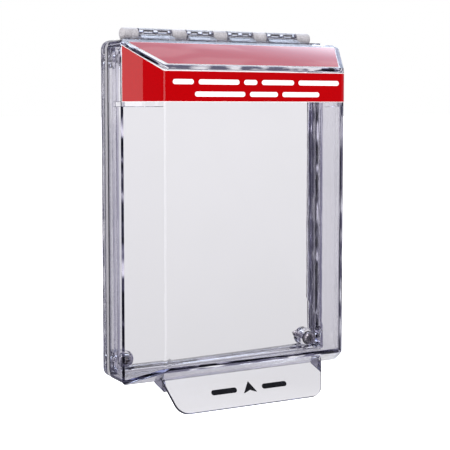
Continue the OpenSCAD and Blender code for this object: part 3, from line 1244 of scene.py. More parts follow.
def upright(shape: Array, back: float, front: float) -> Surface:
    """Front-view outline of (x, z) carried from y = back to y = front.

    Args:
        shape: the outline as an array of (point, 2).
        back: y of its back face.
        front: y of its front face.

    Returns:
        The closed surface.
    """
    rows = np.zeros((2, len(shape), 3))
    rows[..., 0], rows[..., 2] = shape[:, 0], shape[:, 1]
    rows[..., 1] = np.array([back, front])[:, None]
    return loft(rows)


def sideways(shape: Array, start: float, end: float, ease: float = 0.0) -> Surface:
    """Side-view outline of (y, z) carried from x = start to x = end, with eased rims.

    Args:
        shape: the outline as an array of (point, 2).
        start: x of one face.
        end: x of the other face.
        ease: radius of the rims.

    Returns:
        The closed surface.
    """
    def place(flat: Array) -> Array:
        """Turns (y, z, x) into (x, y, z)."""
        return flat[..., [2, 0, 1]]

    if ease > 0:
        return eased_prism(shape, start, end, ease, place)
    rows = np.zeros((2, len(shape), 3))
    rows[..., 1], rows[..., 2] = shape[:, 0], shape[:, 1]
    rows[..., 0] = np.array([start, end])[:, None]
    return loft(rows)


# ---------- hinge ----------


@dataclass
class Hinge:
    """Frosted rail on the frame, clear leaf on the cover, steel pin and two caps."""

    knuckle_r: float = 3.75 * MM  # radius of a knuckle
    frame_knuckle: float = 9.6 * MM  # length of a frosted knuckle
    end_knuckle: float = 11.0 * MM  # length of an outermost one with its cap
    inner_knuckle: float = 19.6 * MM  # room for an inner clear knuckle
    gap: float = 0.4 * MM  # between neighbouring knuckles
    window_web: float = 3.0 * MM  # between the windows and beside them
    window_h: float = 2.2 * MM  # height of a window
    window_up: float = 0.3 * MM  # from the pin's middle up to a window
    cap_dome: float = 1.5 * MM  # how far a cap's dome stands out
    cap_stub: float = 3.0 * MM  # length of a cap's stub
    lug_t: float = 1.3 * MM  # thickness of the rail's lugs
    lug_front: float = 9.4 * MM  # from the wall to the lugs' tips
    rim_front: float = 6.5 * MM  # from the wall to the rail's front
    strip_t: float = 1.37 * MM  # thickness of the leaf's strip
    leaf_back: float = 11.3 * MM  # from the wall to the leaf's back edge
    arm_back: float = 10.8 * MM  # from the wall to an arm's back
    arm_front: float = 15.8 * MM  # from the wall to an arm's front
    pin_play: float = 0.06 * MM  # round the pin in the leaf's knuckles
    pin_grip: float = 0.02 * MM  # round the pin in the rail's knuckles
    crease: float = 30.0  # angle over which an edge stays sharp
    around: int = 48  # points round a knuckle
    made: list[bpy.types.Object] = field(default_factory=list)

    def build(self, finishes: Finishes) -> None:
        """Builds and dresses every piece of the hinge.

        Args:
            finishes: the materials.
        """
        pin_low, pin_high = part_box("hinge_pin")
        self.axis = np.array([(pin_low.y + pin_high.y) / 2, (pin_low.z + pin_high.z) / 2])
        self.pin_r = (pin_high.y - pin_low.y) / 2
        self.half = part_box("cover_hinge_leaf")[1].x
        rail_low, rail_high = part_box("hinge_rail")
        self.rail = (rail_low, rail_high)
        leaf_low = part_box("cover_hinge_leaf")[0]
        self.leaf_front, self.leaf_foot = leaf_low.y, leaf_low.z
        self.frame_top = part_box("wall_gasket")[1].z
        inner_from = self.frame_knuckle / 2
        inner_to = inner_from + self.inner_knuckle
        outer_from = inner_to + self.frame_knuckle
        outer_to = self.half - self.end_knuckle
        self.clear_spans = [
            (inner_from + self.gap, inner_to - self.gap),
            (outer_from + self.gap, outer_to - self.gap),
        ]
        self.frosted_spans = [(inner_to, outer_from), (outer_to, self.half - self.cap_dome)]
        rail = Dress(Body.FRAME, finishes.nylon, "frosted_nylon", ("hinge_rail",), self.crease)
        leaf = Dress(Body.COVER, finishes.leaf, "clear_leaf", ("cover_hinge_leaf",), self.crease)
        pin = Dress(Body.FRAME, finishes.pin, "pin_steel", ("hinge_pin",))
        right = Dress(Body.FRAME, finishes.nylon, "frosted_nylon", ("pin_cap_right",))
        left = Dress(Body.FRAME, finishes.nylon, "frosted_nylon", ("pin_cap_left",))
        self.made = [
            piece("hinge_rail_frosted", self.frame_rail(), rail),
            piece("cover_hinge_leaf_clear", self.cover_leaf(), leaf),
            piece("hinge_pin_steel", self.pin(), pin),
            piece("pin_cap_dome_right", self.cap(), right),
            piece("pin_cap_dome_left", self.cap().mirrored(), left),
        ]

    def knuckle_grids(
        self, shape: Array, bore: float, places: Sequence[float],
    ) -> tuple[Array, Array]:
        """Outside and bore of a knuckle, as grids over the same angles and places along x.

        Args:
            shape: (y, z) of the outside about the axis, one point for each angle.
            bore: radius of the bore.
            places: x of the ends and of the windows' borders, in order.

        Returns:
            (place, angle, 3) of the outside, which narrows at its ends, and of the bore.
        """
        ease = 0.25 * MM
        x = np.array([places[0], places[0] + ease, *places[1:-1], places[-1] - ease, places[-1]])
        squeeze = np.array([ease, *[0.0] * (len(x) - 2), ease])
        ways = shape / np.linalg.norm(shape, axis=1)[:, None]
        outer = np.zeros((len(x), len(shape), 3))
        inner = np.zeros_like(outer)
        outer[..., 0] = inner[..., 0] = x[:, None]
        outer[..., 1:] = self.axis + shape[None] - ways[None] * squeeze[:, None, None]
        inner[..., 1:] = self.axis + ways[None] * bore
        return outer, inner

    def knuckle(self, shape: Array, bore: float, start: float, end: float, windows: bool) -> Surface:
        """Knuckle with a bore along x, and if asked two windows through its front wall.

        A window leaves out its cells in the outside and in the bore, and joins their borders.

        Args:
            shape: (y, z) of the outside about the axis, one point for each angle.
            bore: radius of the bore.
            start: x of one end.
            end: x of the other end.
            windows: whether there are windows.

        Returns:
            The closed surface.
        """
        places, holes = [start, end], []
        if windows:
            web, long = self.window_web, (end - start - 3 * self.window_web) / 2
            places = [start, start + web, start + web + long, end - web - long, end - web, end]
            holes = [2, 4]
        outer, inner = self.knuckle_grids(shape, bore, places)
        count, around = outer.shape[:2]
        turn = np.arctan2(shape[:, 1], shape[:, 0])
        low, high = self.window_turns()
        seen = (turn >= low - 1e-6) & (np.roll(turn, -1) <= high + 1e-6) & (turn < high)
        cells = np.zeros((count - 1, around), bool)
        cells[holes] = seen
        quads = grid_quads(count, around)[~cells.ravel()]
        shift = count * around
        number = np.arange(shift).reshape(count, around)
        borders = [(number[ring], np.roll(number[ring], -1)) for ring in (0, count - 1)]
        span = np.flatnonzero(seen)
        first = np.flatnonzero(seen & ~np.roll(seen, 1))
        after = (np.flatnonzero(seen & ~np.roll(seen, -1)) + 1) % around
        for row in holes:
            for edge in (row, row + 1):
                borders.append((number[edge, span], number[edge, (span + 1) % around]))
            for column in (first, after):
                borders.append((number[row, column], number[row + 1, column]))
        walls = [np.stack([a, b, b + shift, a + shift], -1) for a, b in borders]
        points = np.vstack([outer.reshape(-1, 3), inner.reshape(-1, 3)])
        return Surface(points, np.vstack([quads, quads + shift, *walls]))

    def window_turns(self) -> tuple[float, float]:
        """Angles about the axis of a window's upper and lower edge, in the front wall."""
        upper, lower = self.window_up + self.window_h, self.window_up
        return math.pi - math.asin(upper / self.knuckle_r), math.pi - math.asin(lower / self.knuckle_r)

    def round_points(self) -> Array:
        """Points of the knuckle's round outside about the axis, with lines at the windows' edges.

        Returns:
            (y, z) of each point.
        """
        turn = np.linspace(0, 2 * math.pi, self.around, endpoint=False)
        turn = np.unique(np.concatenate([turn, self.window_turns()]).round(9))
        return np.stack([np.cos(turn), np.sin(turn)], 1) * self.knuckle_r

    def with_arm(self, points: Array, corners: Sequence[tuple[float, float]]) -> Array:
        """Pushes the round outside out to the edges of an arm.

        Each point moves along its own spoke to the farthest edge that the spoke crosses.

        Args:
            points: the round outside about the axis.
            corners: the arm's outline about the axis, as an open run of corners.

        Returns:
            The changed outside.
        """
        run = np.array(corners, float)
        turn = np.arctan2(points[:, 1], points[:, 0])
        extra = np.arctan2(run[:, 1], run[:, 0])
        turn = np.unique(np.concatenate([turn, extra]).round(9))
        ways = np.stack([np.cos(turn), np.sin(turn)], 1)
        reach = np.full(len(turn), self.knuckle_r)
        a, edge = run[:-1], run[1:] - run[:-1]
        cross = ways[:, None, 0] * edge[None, :, 1] - ways[:, None, 1] * edge[None, :, 0]
        cross = np.where(np.abs(cross) < 1e-12, 1e-12, cross)
        far = (a[None, :, 0] * edge[None, :, 1] - a[None, :, 1] * edge[None, :, 0]) / cross
        part = (a[None, :, 0] * ways[:, None, 1] - a[None, :, 1] * ways[:, None, 0]) / cross
        hit = (far > 0) & (part >= -1e-6) & (part <= 1 + 1e-6)
        reach = np.maximum(reach, np.where(hit, far, 0.0).max(1))
        return ways * reach[:, None]

    def cover_leaf(self) -> bpy.types.Mesh:
        """Clear strip on the skirt's top with four windowed knuckles.

        Returns:
            The finished mesh.
        """
        foot = self.leaf_foot + 0.03 * MM
        y, z = self.axis
        toe, front = 0.2 * MM - self.arm_front - y, -self.arm_front - y
        arm = [(0.0, -self.knuckle_r + 0.05 * MM), (-self.arm_back - y, foot + 0.3 * MM - z),
               (toe, foot - z + 0.02 * MM), (front, foot + 1.35 * MM - z), (-self.knuckle_r, 0.0)]
        shape = self.with_arm(self.round_points(), arm)
        bore = self.pin_r + self.pin_play
        back, top = -self.leaf_back, foot + self.strip_t
        corners = [(self.leaf_front, foot), (back, foot), (back, top), (self.leaf_front, top)]
        strip = outline(corners, [0.2 * MM, 0.2 * MM, 0.4 * MM, 0.6 * MM])
        start = sideways(strip, -self.half, self.half, 0.3 * MM)
        steps = []
        for a, b in self.clear_spans:
            made = self.knuckle(shape, bore, a, b, True)
            steps += [(Boole.JOIN, made), (Boole.JOIN, made.mirrored())]
        return shaped("cover_hinge_leaf_clear", start, steps)

    def frame_rail(self) -> bpy.types.Mesh:
        """Frosted strip in the frame's notch with five knuckles on lugs.

        Returns:
            The finished mesh.
        """
        low, high = self.rail
        y, z = self.axis
        back, front = high.y, -self.rim_front
        top = self.frame_top - 0.1 * MM
        strip = outline([(back, low.z), (front, low.z), (front, top), (back, top)], 0.15 * MM)
        under, tip = top - self.lug_t - z, -self.lug_front - y
        arm = [
            (back - y, 0.0), (back - y, under), (tip, under), (tip, top - z),
            (0.0, self.lug_t - self.knuckle_r),
        ]
        shape = self.with_arm(self.round_points(), arm)
        bore = self.pin_r + self.pin_grip
        start = sideways(strip, -self.half, self.half, 0.1 * MM)
        steps = [(
            Boole.JOIN,
            self.knuckle(shape, bore, -self.frame_knuckle / 2, self.frame_knuckle / 2, False),
        )]
        for a, b in self.frosted_spans:
            made = self.knuckle(shape, bore, a, b, False)
            steps += [(Boole.JOIN, made), (Boole.JOIN, made.mirrored())]
        return shaped("hinge_rail_frosted", start, steps)

    def pin(self) -> Surface:
        """Steel pin with chamfered ends.

        Returns:
            The closed surface.
        """
        low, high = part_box("hinge_pin")
        e, r = 0.3 * MM, self.pin_r
        profile = np.array([(r - e, low.x), (r, low.x + e), (r, high.x - e), (r - e, high.x)])
        return revolved(profile, (0, *self.axis), 0)

    def cap(self) -> Surface:
        """Right cap: a stub in the knuckle and a head that closes in a quarter of an ellipse.

        Returns:
            The closed surface.
        """
        inner = self.half - self.cap_dome
        turn = np.linspace(0, math.pi / 2, 8)
        head = np.stack([self.knuckle_r * np.cos(turn) ** 0.8, inner + self.cap_dome * np.sin(turn)], 1)
        head[-1, 0] = 0.1 * MM
        r = self.pin_r
        stub = np.array([
            (r - 0.2 * MM, inner - self.cap_stub), (r, inner - self.cap_stub + 0.2 * MM),
            (r, inner),
        ])
        return revolved(np.vstack([stub, head]), (0, *self.axis), 0)


# ---------- cover ----------


@dataclass
class Hood:
    """Outer shape of the cover: a straight skirt, then walls that lean in to a flat front.

    Depth is measured back from the front plane. A wall's place is a straight line in depth, rounded
    into the front plane by an arc that touches both.
    """

    skirt_back: float = 9.8 * MM  # from the wall to the skirt's back edge
    roof_from: float = 26.5 * MM  # from the wall to where the roof falls
    sides_from: float = 29.0 * MM  # from the wall to where the sides lean in
    taper: float = 15.7 * MM  # how far each side leans in
    roof_fall: float = 16.8 * MM  # how far the roof falls
    foot_rise: float = 12.2 * MM  # how far the foot rises
    corner: float = 3.5 * MM  # corner radius of the skirt
    side_round: float = 4.5 * MM  # radius of the upright front edges
    edge_round: float = 3.6 * MM  # radius of the front's upper and lower edge
    least: float = 0.9 * MM  # smallest outer corner radius
    pull: float = 3.41  # loss of corner radius per unit of lean

    def __post_init__(self) -> None:
        """Reads the cover's box."""
        low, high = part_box("cover_shell")
        self.front = -low.y
        self.half = np.array([high.x, high.z])
        self.side_slope = self.taper / (self.front - self.sides_from)
        self.roof_slope = self.roof_fall / (self.front - self.roof_from)
        self.foot_slope = self.foot_rise / (self.front - self.sides_from)

    def wall(
        self, depth: Array, widest: float, lean: float, slope: float, radius: float, inset: float,
    ) -> Array:
        """Place of one wall at each depth behind its own front plane.

        Args:
            depth: depths behind the front plane moved in by inset.
            widest: the wall's place along the skirt.
            lean: how far it leans in from the skirt to the front.
            slope: change of place for each unit of depth.
            radius: radius where it meets the front plane.
            inset: how far the wall is moved in.

        Returns:
            The wall's place at each depth.
        """
        root = math.sqrt(1 + slope * slope)
        at_front = widest - lean - inset * root + inset * slope
        r = max(radius - inset, 0.0)
        touch = r - r * slope / root
        centre = at_front + slope * touch - r / root
        arc = centre + np.sqrt(np.maximum(r * r - (r - depth) ** 2, 0.0))
        line = np.where(depth < touch, arc, at_front + slope * depth)
        return np.minimum(line, widest - inset)

    def walls(self, depth: Array, inset: float) -> tuple[Array, Array, Array]:
        """Half width, top and foot at each depth behind the front plane moved in by inset.

        Args:
            depth: depths behind the front plane moved in by inset.
            inset: how far the walls are moved in.

        Returns:
            Half width, height of the top and depth of the foot, at each depth.
        """
        side = self.wall(depth, self.half[0], self.taper, self.side_slope, self.side_round, inset)
        top = self.wall(depth, self.half[1], self.roof_fall, self.roof_slope, self.edge_round, inset)
        foot = self.wall(depth, self.half[1], self.foot_rise, self.foot_slope, self.edge_round, inset)
        return side, top, foot

    def depths(self, inset: float) -> Array:
        """Depths behind the moved front plane, close together where the walls turn.

        Args:
            inset: how far the walls are moved in.

        Returns:
            The depths in order.
        """
        turn = np.linspace(0, 1, 9) ** 2 * (self.side_round - min(inset, 3 * MM))
        breaks = np.array([self.front - self.sides_from, self.front - self.roof_from]) - inset
        root = math.sqrt(1 + self.side_slope**2)
        shift = inset * (root - 1) / self.side_slope
        near = np.concatenate([breaks + shift, breaks + shift + 0.4 * MM, breaks + shift - 0.4 * MM])
        back = self.front - self.skirt_back - inset
        run = np.linspace(self.side_round, back, 14)
        every = np.unique(np.concatenate([turn, near, run]).round(7))
        return every[(every >= 0) & (every <= back + 1e-9)]

    def rows(
        self, inset: float, steps: int, rib: Callable[[Array], Array] | None,
        rib_z: tuple[float, float],
    ) -> Array:
        """Outlines of the moved-in surface from the front plane to the skirt's back edge.

        Args:
            inset: how far the walls are moved in.
            steps: points in each corner.
            rib: how far a rib on each side wall stands in, at each depth; None for no rib.
            rib_z: foot and top of that rib.

        Returns:
            (depth, point, 3) of the outlines.
        """
        depth = self.depths(inset)
        side, top, foot = self.walls(depth, inset)
        pulled = (2 * self.half.sum() - 4 * inset - 2 * side - top - foot) / 4
        radius = np.maximum(
            self.corner - inset - self.pull * pulled, max(self.least - inset, 0.35 * MM),
        )
        flat = soft_frame(side, (top + foot) / 2, radius, steps, (top - foot) / 2)
        low, high = rib_z
        ease = 0.3 * MM
        z = np.array([low - ease, low, high, high + ease])
        stand = np.array([0.0, 1.0, 1.0, 0.0])
        proud = (rib(depth) if rib else np.zeros_like(depth))[:, None] * stand
        right = np.stack([side[:, None] - proud, np.broadcast_to(z, proud.shape)], -1)
        left = np.stack([proud - side[:, None], np.broadcast_to(z, proud.shape)], -1)[:, ::-1]
        flat = np.concatenate([flat[:, :2 * steps], left, flat[:, 2 * steps:], right], 1)
        deep = np.broadcast_to((depth + inset - self.front)[:, None, None], flat.shape[:2] + (1,))
        return np.concatenate([flat[..., :1], deep, flat[..., 1:]], -1)


@dataclass(frozen=True)
class BarRow:
    """A row of bars on the label band.

    Args:
        middle: height of its middle.
        reach: half its length.
        shares: length of each bar as a share of them all, from left to right.
    """

    middle: float
    reach: float
    shares: tuple[float, ...]


@dataclass
class Cover:
    """Clear hood, its two labels with their marks, and the lift tab."""

    wall_t: float = 3.0 * MM  # thickness of the hood's walls
    rib_t: float = 1.2 * MM  # how far a rib stands out
    rib_h: float = 2.6 * MM  # height of a rib
    rib_gap: float = 2.0 * MM  # between a rib and the front wall
    rib_from: float = 18.5 * MM  # from the wall to a rib's back end
    film: float = 0.16 * MM  # thickness of a label's white film
    print_t: float = 0.24 * MM  # height of the print's face
    mark_t: float = 0.3 * MM  # height of the marks' face
    lift: float = 0.02 * MM  # gap under a label
    # The white film left bare round the print is partly the label's white base and partly a painted
    # highlight: its rim draws the bright line along the labels' edges.
    border: float = 0.3 * MM  # film left bare round the print
    band_back: float = 0.8 * MM  # from the sides' bend to the band's ends
    band_drop: float = 2.4 * MM  # from the roof's front edge to the band
    roof_margin: float = 3.4 * MM  # bare strip beside the roof label
    tab_lean: float = 30.0  # the tab's angle to the wall, in degrees
    tab_len: float = 24.5 * MM  # length of the tab
    tab_t: float = 2.4 * MM  # thickness of the tab
    tab_top_w: float = 116.0 * MM  # width of the tab at its root
    tab_foot_w: float = 101.0 * MM  # width of the tab at its foot
    tab_r: float = 9.0 * MM  # radius of the tab's lower corners
    tab_root: float = 10.0 * MM  # from the foot's bend to the tab's root
    gusset_t: float = 2.0 * MM  # thickness of a gusset
    gusset_len: float = 9.0 * MM  # how far down the tab a gusset reaches
    bar_h: float = 3.0 * MM  # height of a bar
    bar_gap: float = 3.2 * MM  # between neighbouring bars
    bar_rows: tuple[BarRow, ...] = (
        BarRow(78.8 * MM, 58.0 * MM, (0.12, 0.24, 0.08, 0.2, 0.26)),
        BarRow(71.6 * MM, 43.5 * MM, (0.38, 0.22, 0.3)),
    )
    hood: Hood = field(default_factory=Hood)
    made: list[bpy.types.Object] = field(default_factory=list)

    def build(self, finishes: Finishes) -> None:
        """Builds and dresses every piece of the cover.

        Args:
            finishes: the materials.
        """
        band_low, band_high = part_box("band_label")
        self.band = (band_low.z, band_high.z)
        self.band_top = self.hood.half[1] - self.hood.roof_fall - self.band_drop
        film = Dress(Body.COVER, finishes.white, "red_label")
        band_ink = Dress(Body.COVER, finishes.red, "red_label", ("band_label",))
        roof_ink = Dress(Body.COVER, finishes.red, "red_label", ("roof_label",))
        tab_ink = Dress(Body.COVER, finishes.black, "red_label")
        clear = Dress(Body.COVER, finishes.cover, "clear_cover", ("cover_shell",), 24.0)
        grip = Dress(Body.COVER, finishes.tab, "clear_tab", ("lift_tab",), 30.0)
        # The white rim of film round each print is partly the label's white base and partly a painted
        # highlight along its edges.
        band_print = self.band_sheet(self.film, self.print_t, self.border)
        roof_print = self.roof_sheet(self.film, self.print_t, self.border)
        self.made = [
            piece("clear_cover_shell", self.shell(), clear),
            piece("band_label_film", self.band_sheet(0.0, self.film, 0.0), film),
            piece("band_label_print", band_print, band_ink),
            piece("roof_label_film", self.roof_sheet(0.0, self.film, 0.0), film),
            piece("roof_label_print", roof_print, roof_ink),
            piece("band_label_marks", self.band_marks(), film),
            piece("clear_lift_tab", self.tab(), grip),
            piece("lift_tab_marks", self.tab_marks(), tab_ink),
        ]

    def shell(self) -> Surface:
        """Clear hood: outer surface, rounded back rim and inner surface with a rib on each side.

        Returns:
            The closed surface.
        """
        hood = self.hood
        foot = self.band[0] - self.rib_h
        steps = 8

        def rib(depth: Array) -> Array:
            """How far the rib stands out of the wall at each depth.

            Args:
                depth: depths behind the inner front plane.

            Returns:
                The distance at each depth.
            """
            back = hood.front - self.rib_from - self.wall_t
            inside = np.clip(np.minimum(depth - self.rib_gap, back - depth) / (0.6 * MM), 0.0, 1.0)
            return self.rib_t * inside

        outer = hood.rows(0.0, steps, None, (foot, self.band[0]))
        inner = hood.rows(self.wall_t, steps, rib, (foot, self.band[0]))
        ease = 0.4 * MM
        share = np.array([0.12, 0.0, 0.12])
        edge = outer[-1] + (inner[-1] - outer[-1]) * share
        edge_in = inner[-1] + (outer[-1] - inner[-1]) * share
        outer[-1, :, 1] -= ease
        inner[-1, :, 1] -= ease
        rows = np.concatenate([outer, edge[None], edge_in[None], inner[::-1]])
        return loft(rows)

    def band_path(self, inset: float, border: float) -> tuple[Array, Array]:
        """Plan path of the label band, from the left wall round the front to the right wall.

        Args:
            inset: how far inside the hood's surface the path runs; negative is outside.
            border: how much shorter it is at each end.

        Returns:
            x and y of its points.
        """
        hood = self.hood
        back = hood.front - hood.sides_from - self.band_back - border
        turn = np.linspace(0, 1, 10) ** 2 * (hood.side_round + 0.5 * MM)
        depth = np.concatenate([turn, np.linspace(hood.side_round + MM, back, 8)])
        side = hood.wall(depth, hood.half[0], hood.taper, hood.side_slope, hood.side_round, inset)
        y = depth + inset - hood.front
        x = np.concatenate([-side[::-1], side])
        return x, np.concatenate([y[::-1], y])

    def band_sheet(self, low: float, high: float, border: float) -> Surface:
        """Part of the label band between two heights above the hood, set in by a border.

        Args:
            low: height of its back above the hood.
            high: height of its face above the hood.
            border: how far it is set in from the band's edges.

        Returns:
            The closed surface.
        """
        x, y = self.band_path(-high - self.lift, border)
        x_back, y_back = self.band_path(-low - self.lift, border)
        foot = self.band[0] + border
        rear = -self.hood.sides_from - self.band_back
        rise = (self.band[1] - self.band_top) / (rear + self.hood.front - MM)
        top = self.band_top + np.maximum(y + self.hood.front - MM, 0.0) * rise - border * 1.15
        share = np.linspace(0, 1, 6)[None, :]
        z = foot + (top[:, None] - foot) * share
        front = np.stack(
            [np.broadcast_to(x[:, None], z.shape), np.broadcast_to(y[:, None], z.shape), z], -1,
        )
        back = np.stack(
            [np.broadcast_to(x_back[:, None], z.shape), np.broadcast_to(y_back[:, None], z.shape), z],
            -1,
        )
        return plate(front, back)

    def roof_place(self, flat: Array) -> Array:
        """Maps (x, place along the roof from its front edge, height above it) into the frame.

        Args:
            flat: points on and above the roof as an array of (..., 3).

        Returns:
            The same points in the frame.
        """
        hood = self.hood
        root = math.sqrt(1 + hood.roof_slope**2)
        along = np.array([0.0, 1 / root, hood.roof_slope / root])
        normal = np.array([0.0, -hood.roof_slope / root, 1 / root])
        start = np.array([0.0, -hood.front, hood.half[1] - hood.roof_fall])
        sideways_part = flat[..., :1] * np.array([1.0, 0.0, 0.0])
        return start + sideways_part + flat[..., 1:2] * along + flat[..., 2:] * normal

    def roof_sheet(self, low: float, high: float, border: float) -> Surface:
        """Part of the roof label between two heights above the roof, set in by a border.

        Args:
            low: height of its back above the roof.
            high: height of its face above the roof.
            border: how far it is set in from the label's edges.

        Returns:
            The closed surface.
        """
        hood = self.hood
        root = math.sqrt(1 + hood.roof_slope**2)
        low_corner, high_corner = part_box("roof_label")
        front, back = low_corner.y + hood.front, high_corner.y + hood.front
        margin = self.roof_margin
        w_back = hood.half[0] - margin - max(0.0, -high_corner.y - hood.sides_from) * hood.side_slope
        w_front = hood.half[0] - hood.taper + front * hood.side_slope - margin
        a, b = (front + 0.15 * MM) * root + border, back * root - border
        near, away = w_front - border, w_back - border
        shape = outline([(-near, a), (near, a), (away, b), (-away, b)], 1.0 * MM)
        return eased_prism(shape, low + self.lift, high + self.lift, 0.02 * MM, self.roof_place)

    def bar(self, left: float, right: float, middle: float, tall: float) -> Array:
        """Outline of a bar with round ends.

        Args:
            left: its left end.
            right: its right end.
            middle: height of its middle.
            tall: its height.

        Returns:
            Its points as an array of (point, 2).
        """
        h = tall / 2
        return outline(
            [(left, middle - h), (right, middle - h), (right, middle + h), (left, middle + h)],
            h * 0.98, 6,
        )

    def band_marks(self) -> Surface:
        """Two rows of plain bars on the band's front, as long as words.

        Returns:
            All the bars as one surface.
        """
        front = -self.hood.front - self.lift

        def place(flat: Array) -> Array:
            """Stands a flat mark up on the band's front."""
            return np.stack([flat[..., 0], front - flat[..., 2], flat[..., 1]], -1)

        bars: list[Surface] = []
        for row in self.bar_rows:
            room = 2 * row.reach - self.bar_gap * (len(row.shares) - 1)
            left = -row.reach
            for share in row.shares:
                right = left + room * share / sum(row.shares)
                shape = self.bar(left, right, row.middle, self.bar_h)
                bars.append(eased_prism(shape, self.print_t, self.mark_t, 0.01 * MM, place))
                left = right + self.bar_gap
        return together(bars)

    def tab_root_at(self) -> tuple[float, float]:
        """y and z of the line on the hood's foot where the tab starts."""
        hood = self.hood
        return -hood.sides_from - self.tab_root, -hood.half[1] + self.tab_root * hood.foot_slope

    def tab_place(self, flat: Array) -> Array:
        """Maps (x, place up the tab from its root, height above its back face) into the frame.

        Args:
            flat: points on and above the tab as an array of (..., 3).

        Returns:
            The same points in the frame.
        """
        lean = math.radians(self.tab_lean)
        up = np.array([0.0, math.sin(lean), math.cos(lean)])
        normal = np.array([0.0, -math.cos(lean), math.sin(lean)])
        root = np.array([0.0, *self.tab_root_at()])
        across = np.array([1.0, 0.0, 0.0])
        return root + flat[..., :1] * across + flat[..., 1:2] * up + flat[..., 2:] * normal

    def tab(self) -> bpy.types.Mesh:
        """Clear tab with rounded lower corners, cut along the hood's foot, and its two gussets.

        Returns:
            The finished mesh.
        """
        spread = (self.tab_top_w - self.tab_foot_w) / 2 / self.tab_len
        above = 6.0 * MM
        low, high = self.tab_foot_w / 2, self.tab_top_w / 2 + spread * above
        corners = [(-low, -self.tab_len), (low, -self.tab_len), (high, above), (-high, above)]
        shape = outline(corners, [self.tab_r, self.tab_r, 1.5 * MM, 1.5 * MM], 10)
        start = eased_prism(shape, 0.0, self.tab_t, 0.5 * MM, self.tab_place)
        lean = math.radians(self.tab_lean)
        hood = self.hood
        root_y, root_z = self.tab_root_at()
        back = self.tab_root - 0.5 * MM
        deep = self.tab_root * hood.foot_slope + 0.5 * MM
        foot = (root_y - self.gusset_len * math.sin(lean), root_z - self.gusset_len * math.cos(lean))
        heel = root_y + back
        sides = [(heel, root_z), (heel, root_z - deep), foot, (root_y - 0.5 * MM, root_z)]
        gusset = outline(sides, 0.3 * MM)
        x = self.tab_top_w / 2 - self.gusset_t - MM
        side = sideways(gusset, x, x + self.gusset_t, 0.2 * MM)
        gap = 0.04 * MM
        y = np.array([-hood.sides_from + 2 * MM, -hood.front + 6 * MM])
        z = -hood.half[1] + (-y - hood.sides_from) * hood.foot_slope - gap
        block = np.array([(y[0], z[0]), (y[1], z[1]), (y[1], z[1] + 20 * MM), (y[0], z[0] + 20 * MM)])
        above_foot = sideways(block, -80 * MM, 80 * MM)
        return shaped("clear_lift_tab", start,
                      [(Boole.JOIN, side), (Boole.JOIN, side.mirrored()), (Boole.CUT, above_foot)])

    def tab_marks(self) -> Surface:
        """Up arrow between two bars on the tab's face.

        Returns:
            All three marks as one surface.
        """
        middle, tall, near, far = -0.56 * self.tab_len, 3.4 * MM, 9.0 * MM, 27.0 * MM
        foot, tip, notch = middle - 3.2 * MM, middle + 4.6 * MM, middle - 1.2 * MM
        half = 5.0 * MM
        arrow = outline([(-half, foot), (0.0, tip), (half, foot), (0.0, notch)], 0.3 * MM)
        low, high = self.tab_t + 0.01 * MM, self.tab_t + 0.06 * MM
        shapes = [arrow, self.bar(-far, -near, middle, tall), self.bar(near, far, middle, tall)]
        return together([eased_prism(shape, low, high, 0.01 * MM, self.tab_place) for shape in shapes])


# ---------- studio ----------


@dataclass(frozen=True)
class SoftBox:
    """A soft lamp.

    Args:
        name: the lamp's name.
        place: where it stands.
        target: what it points at.
        size: width and height.
        watts: its power.
        tint: colour of its light.
    """

    name: str
    place: tuple[float, float, float]
    target: tuple[float, float, float]
    size: tuple[float, float]
    watts: float
    tint: tuple[float, float, float] = (1.0, 1.0, 1.0)

    def build(self) -> None:
        """Adds the lamp to the scene."""
        data = bpy.data.lights.new(self.name, "AREA")
        data.shape, data.energy, data.color = "RECTANGLE", self.watts, self.tint
        data.size, data.size_y = self.size
        lamp = bpy.data.objects.new(self.name, data)
        lamp.location = self.place
        lamp.visible_camera = False
        aim = Vector(self.target) - Vector(self.place)
        lamp.rotation_euler = aim.to_track_quat("-Z", "Y").to_euler()
        bpy.context.scene.collection.objects.link(lamp)


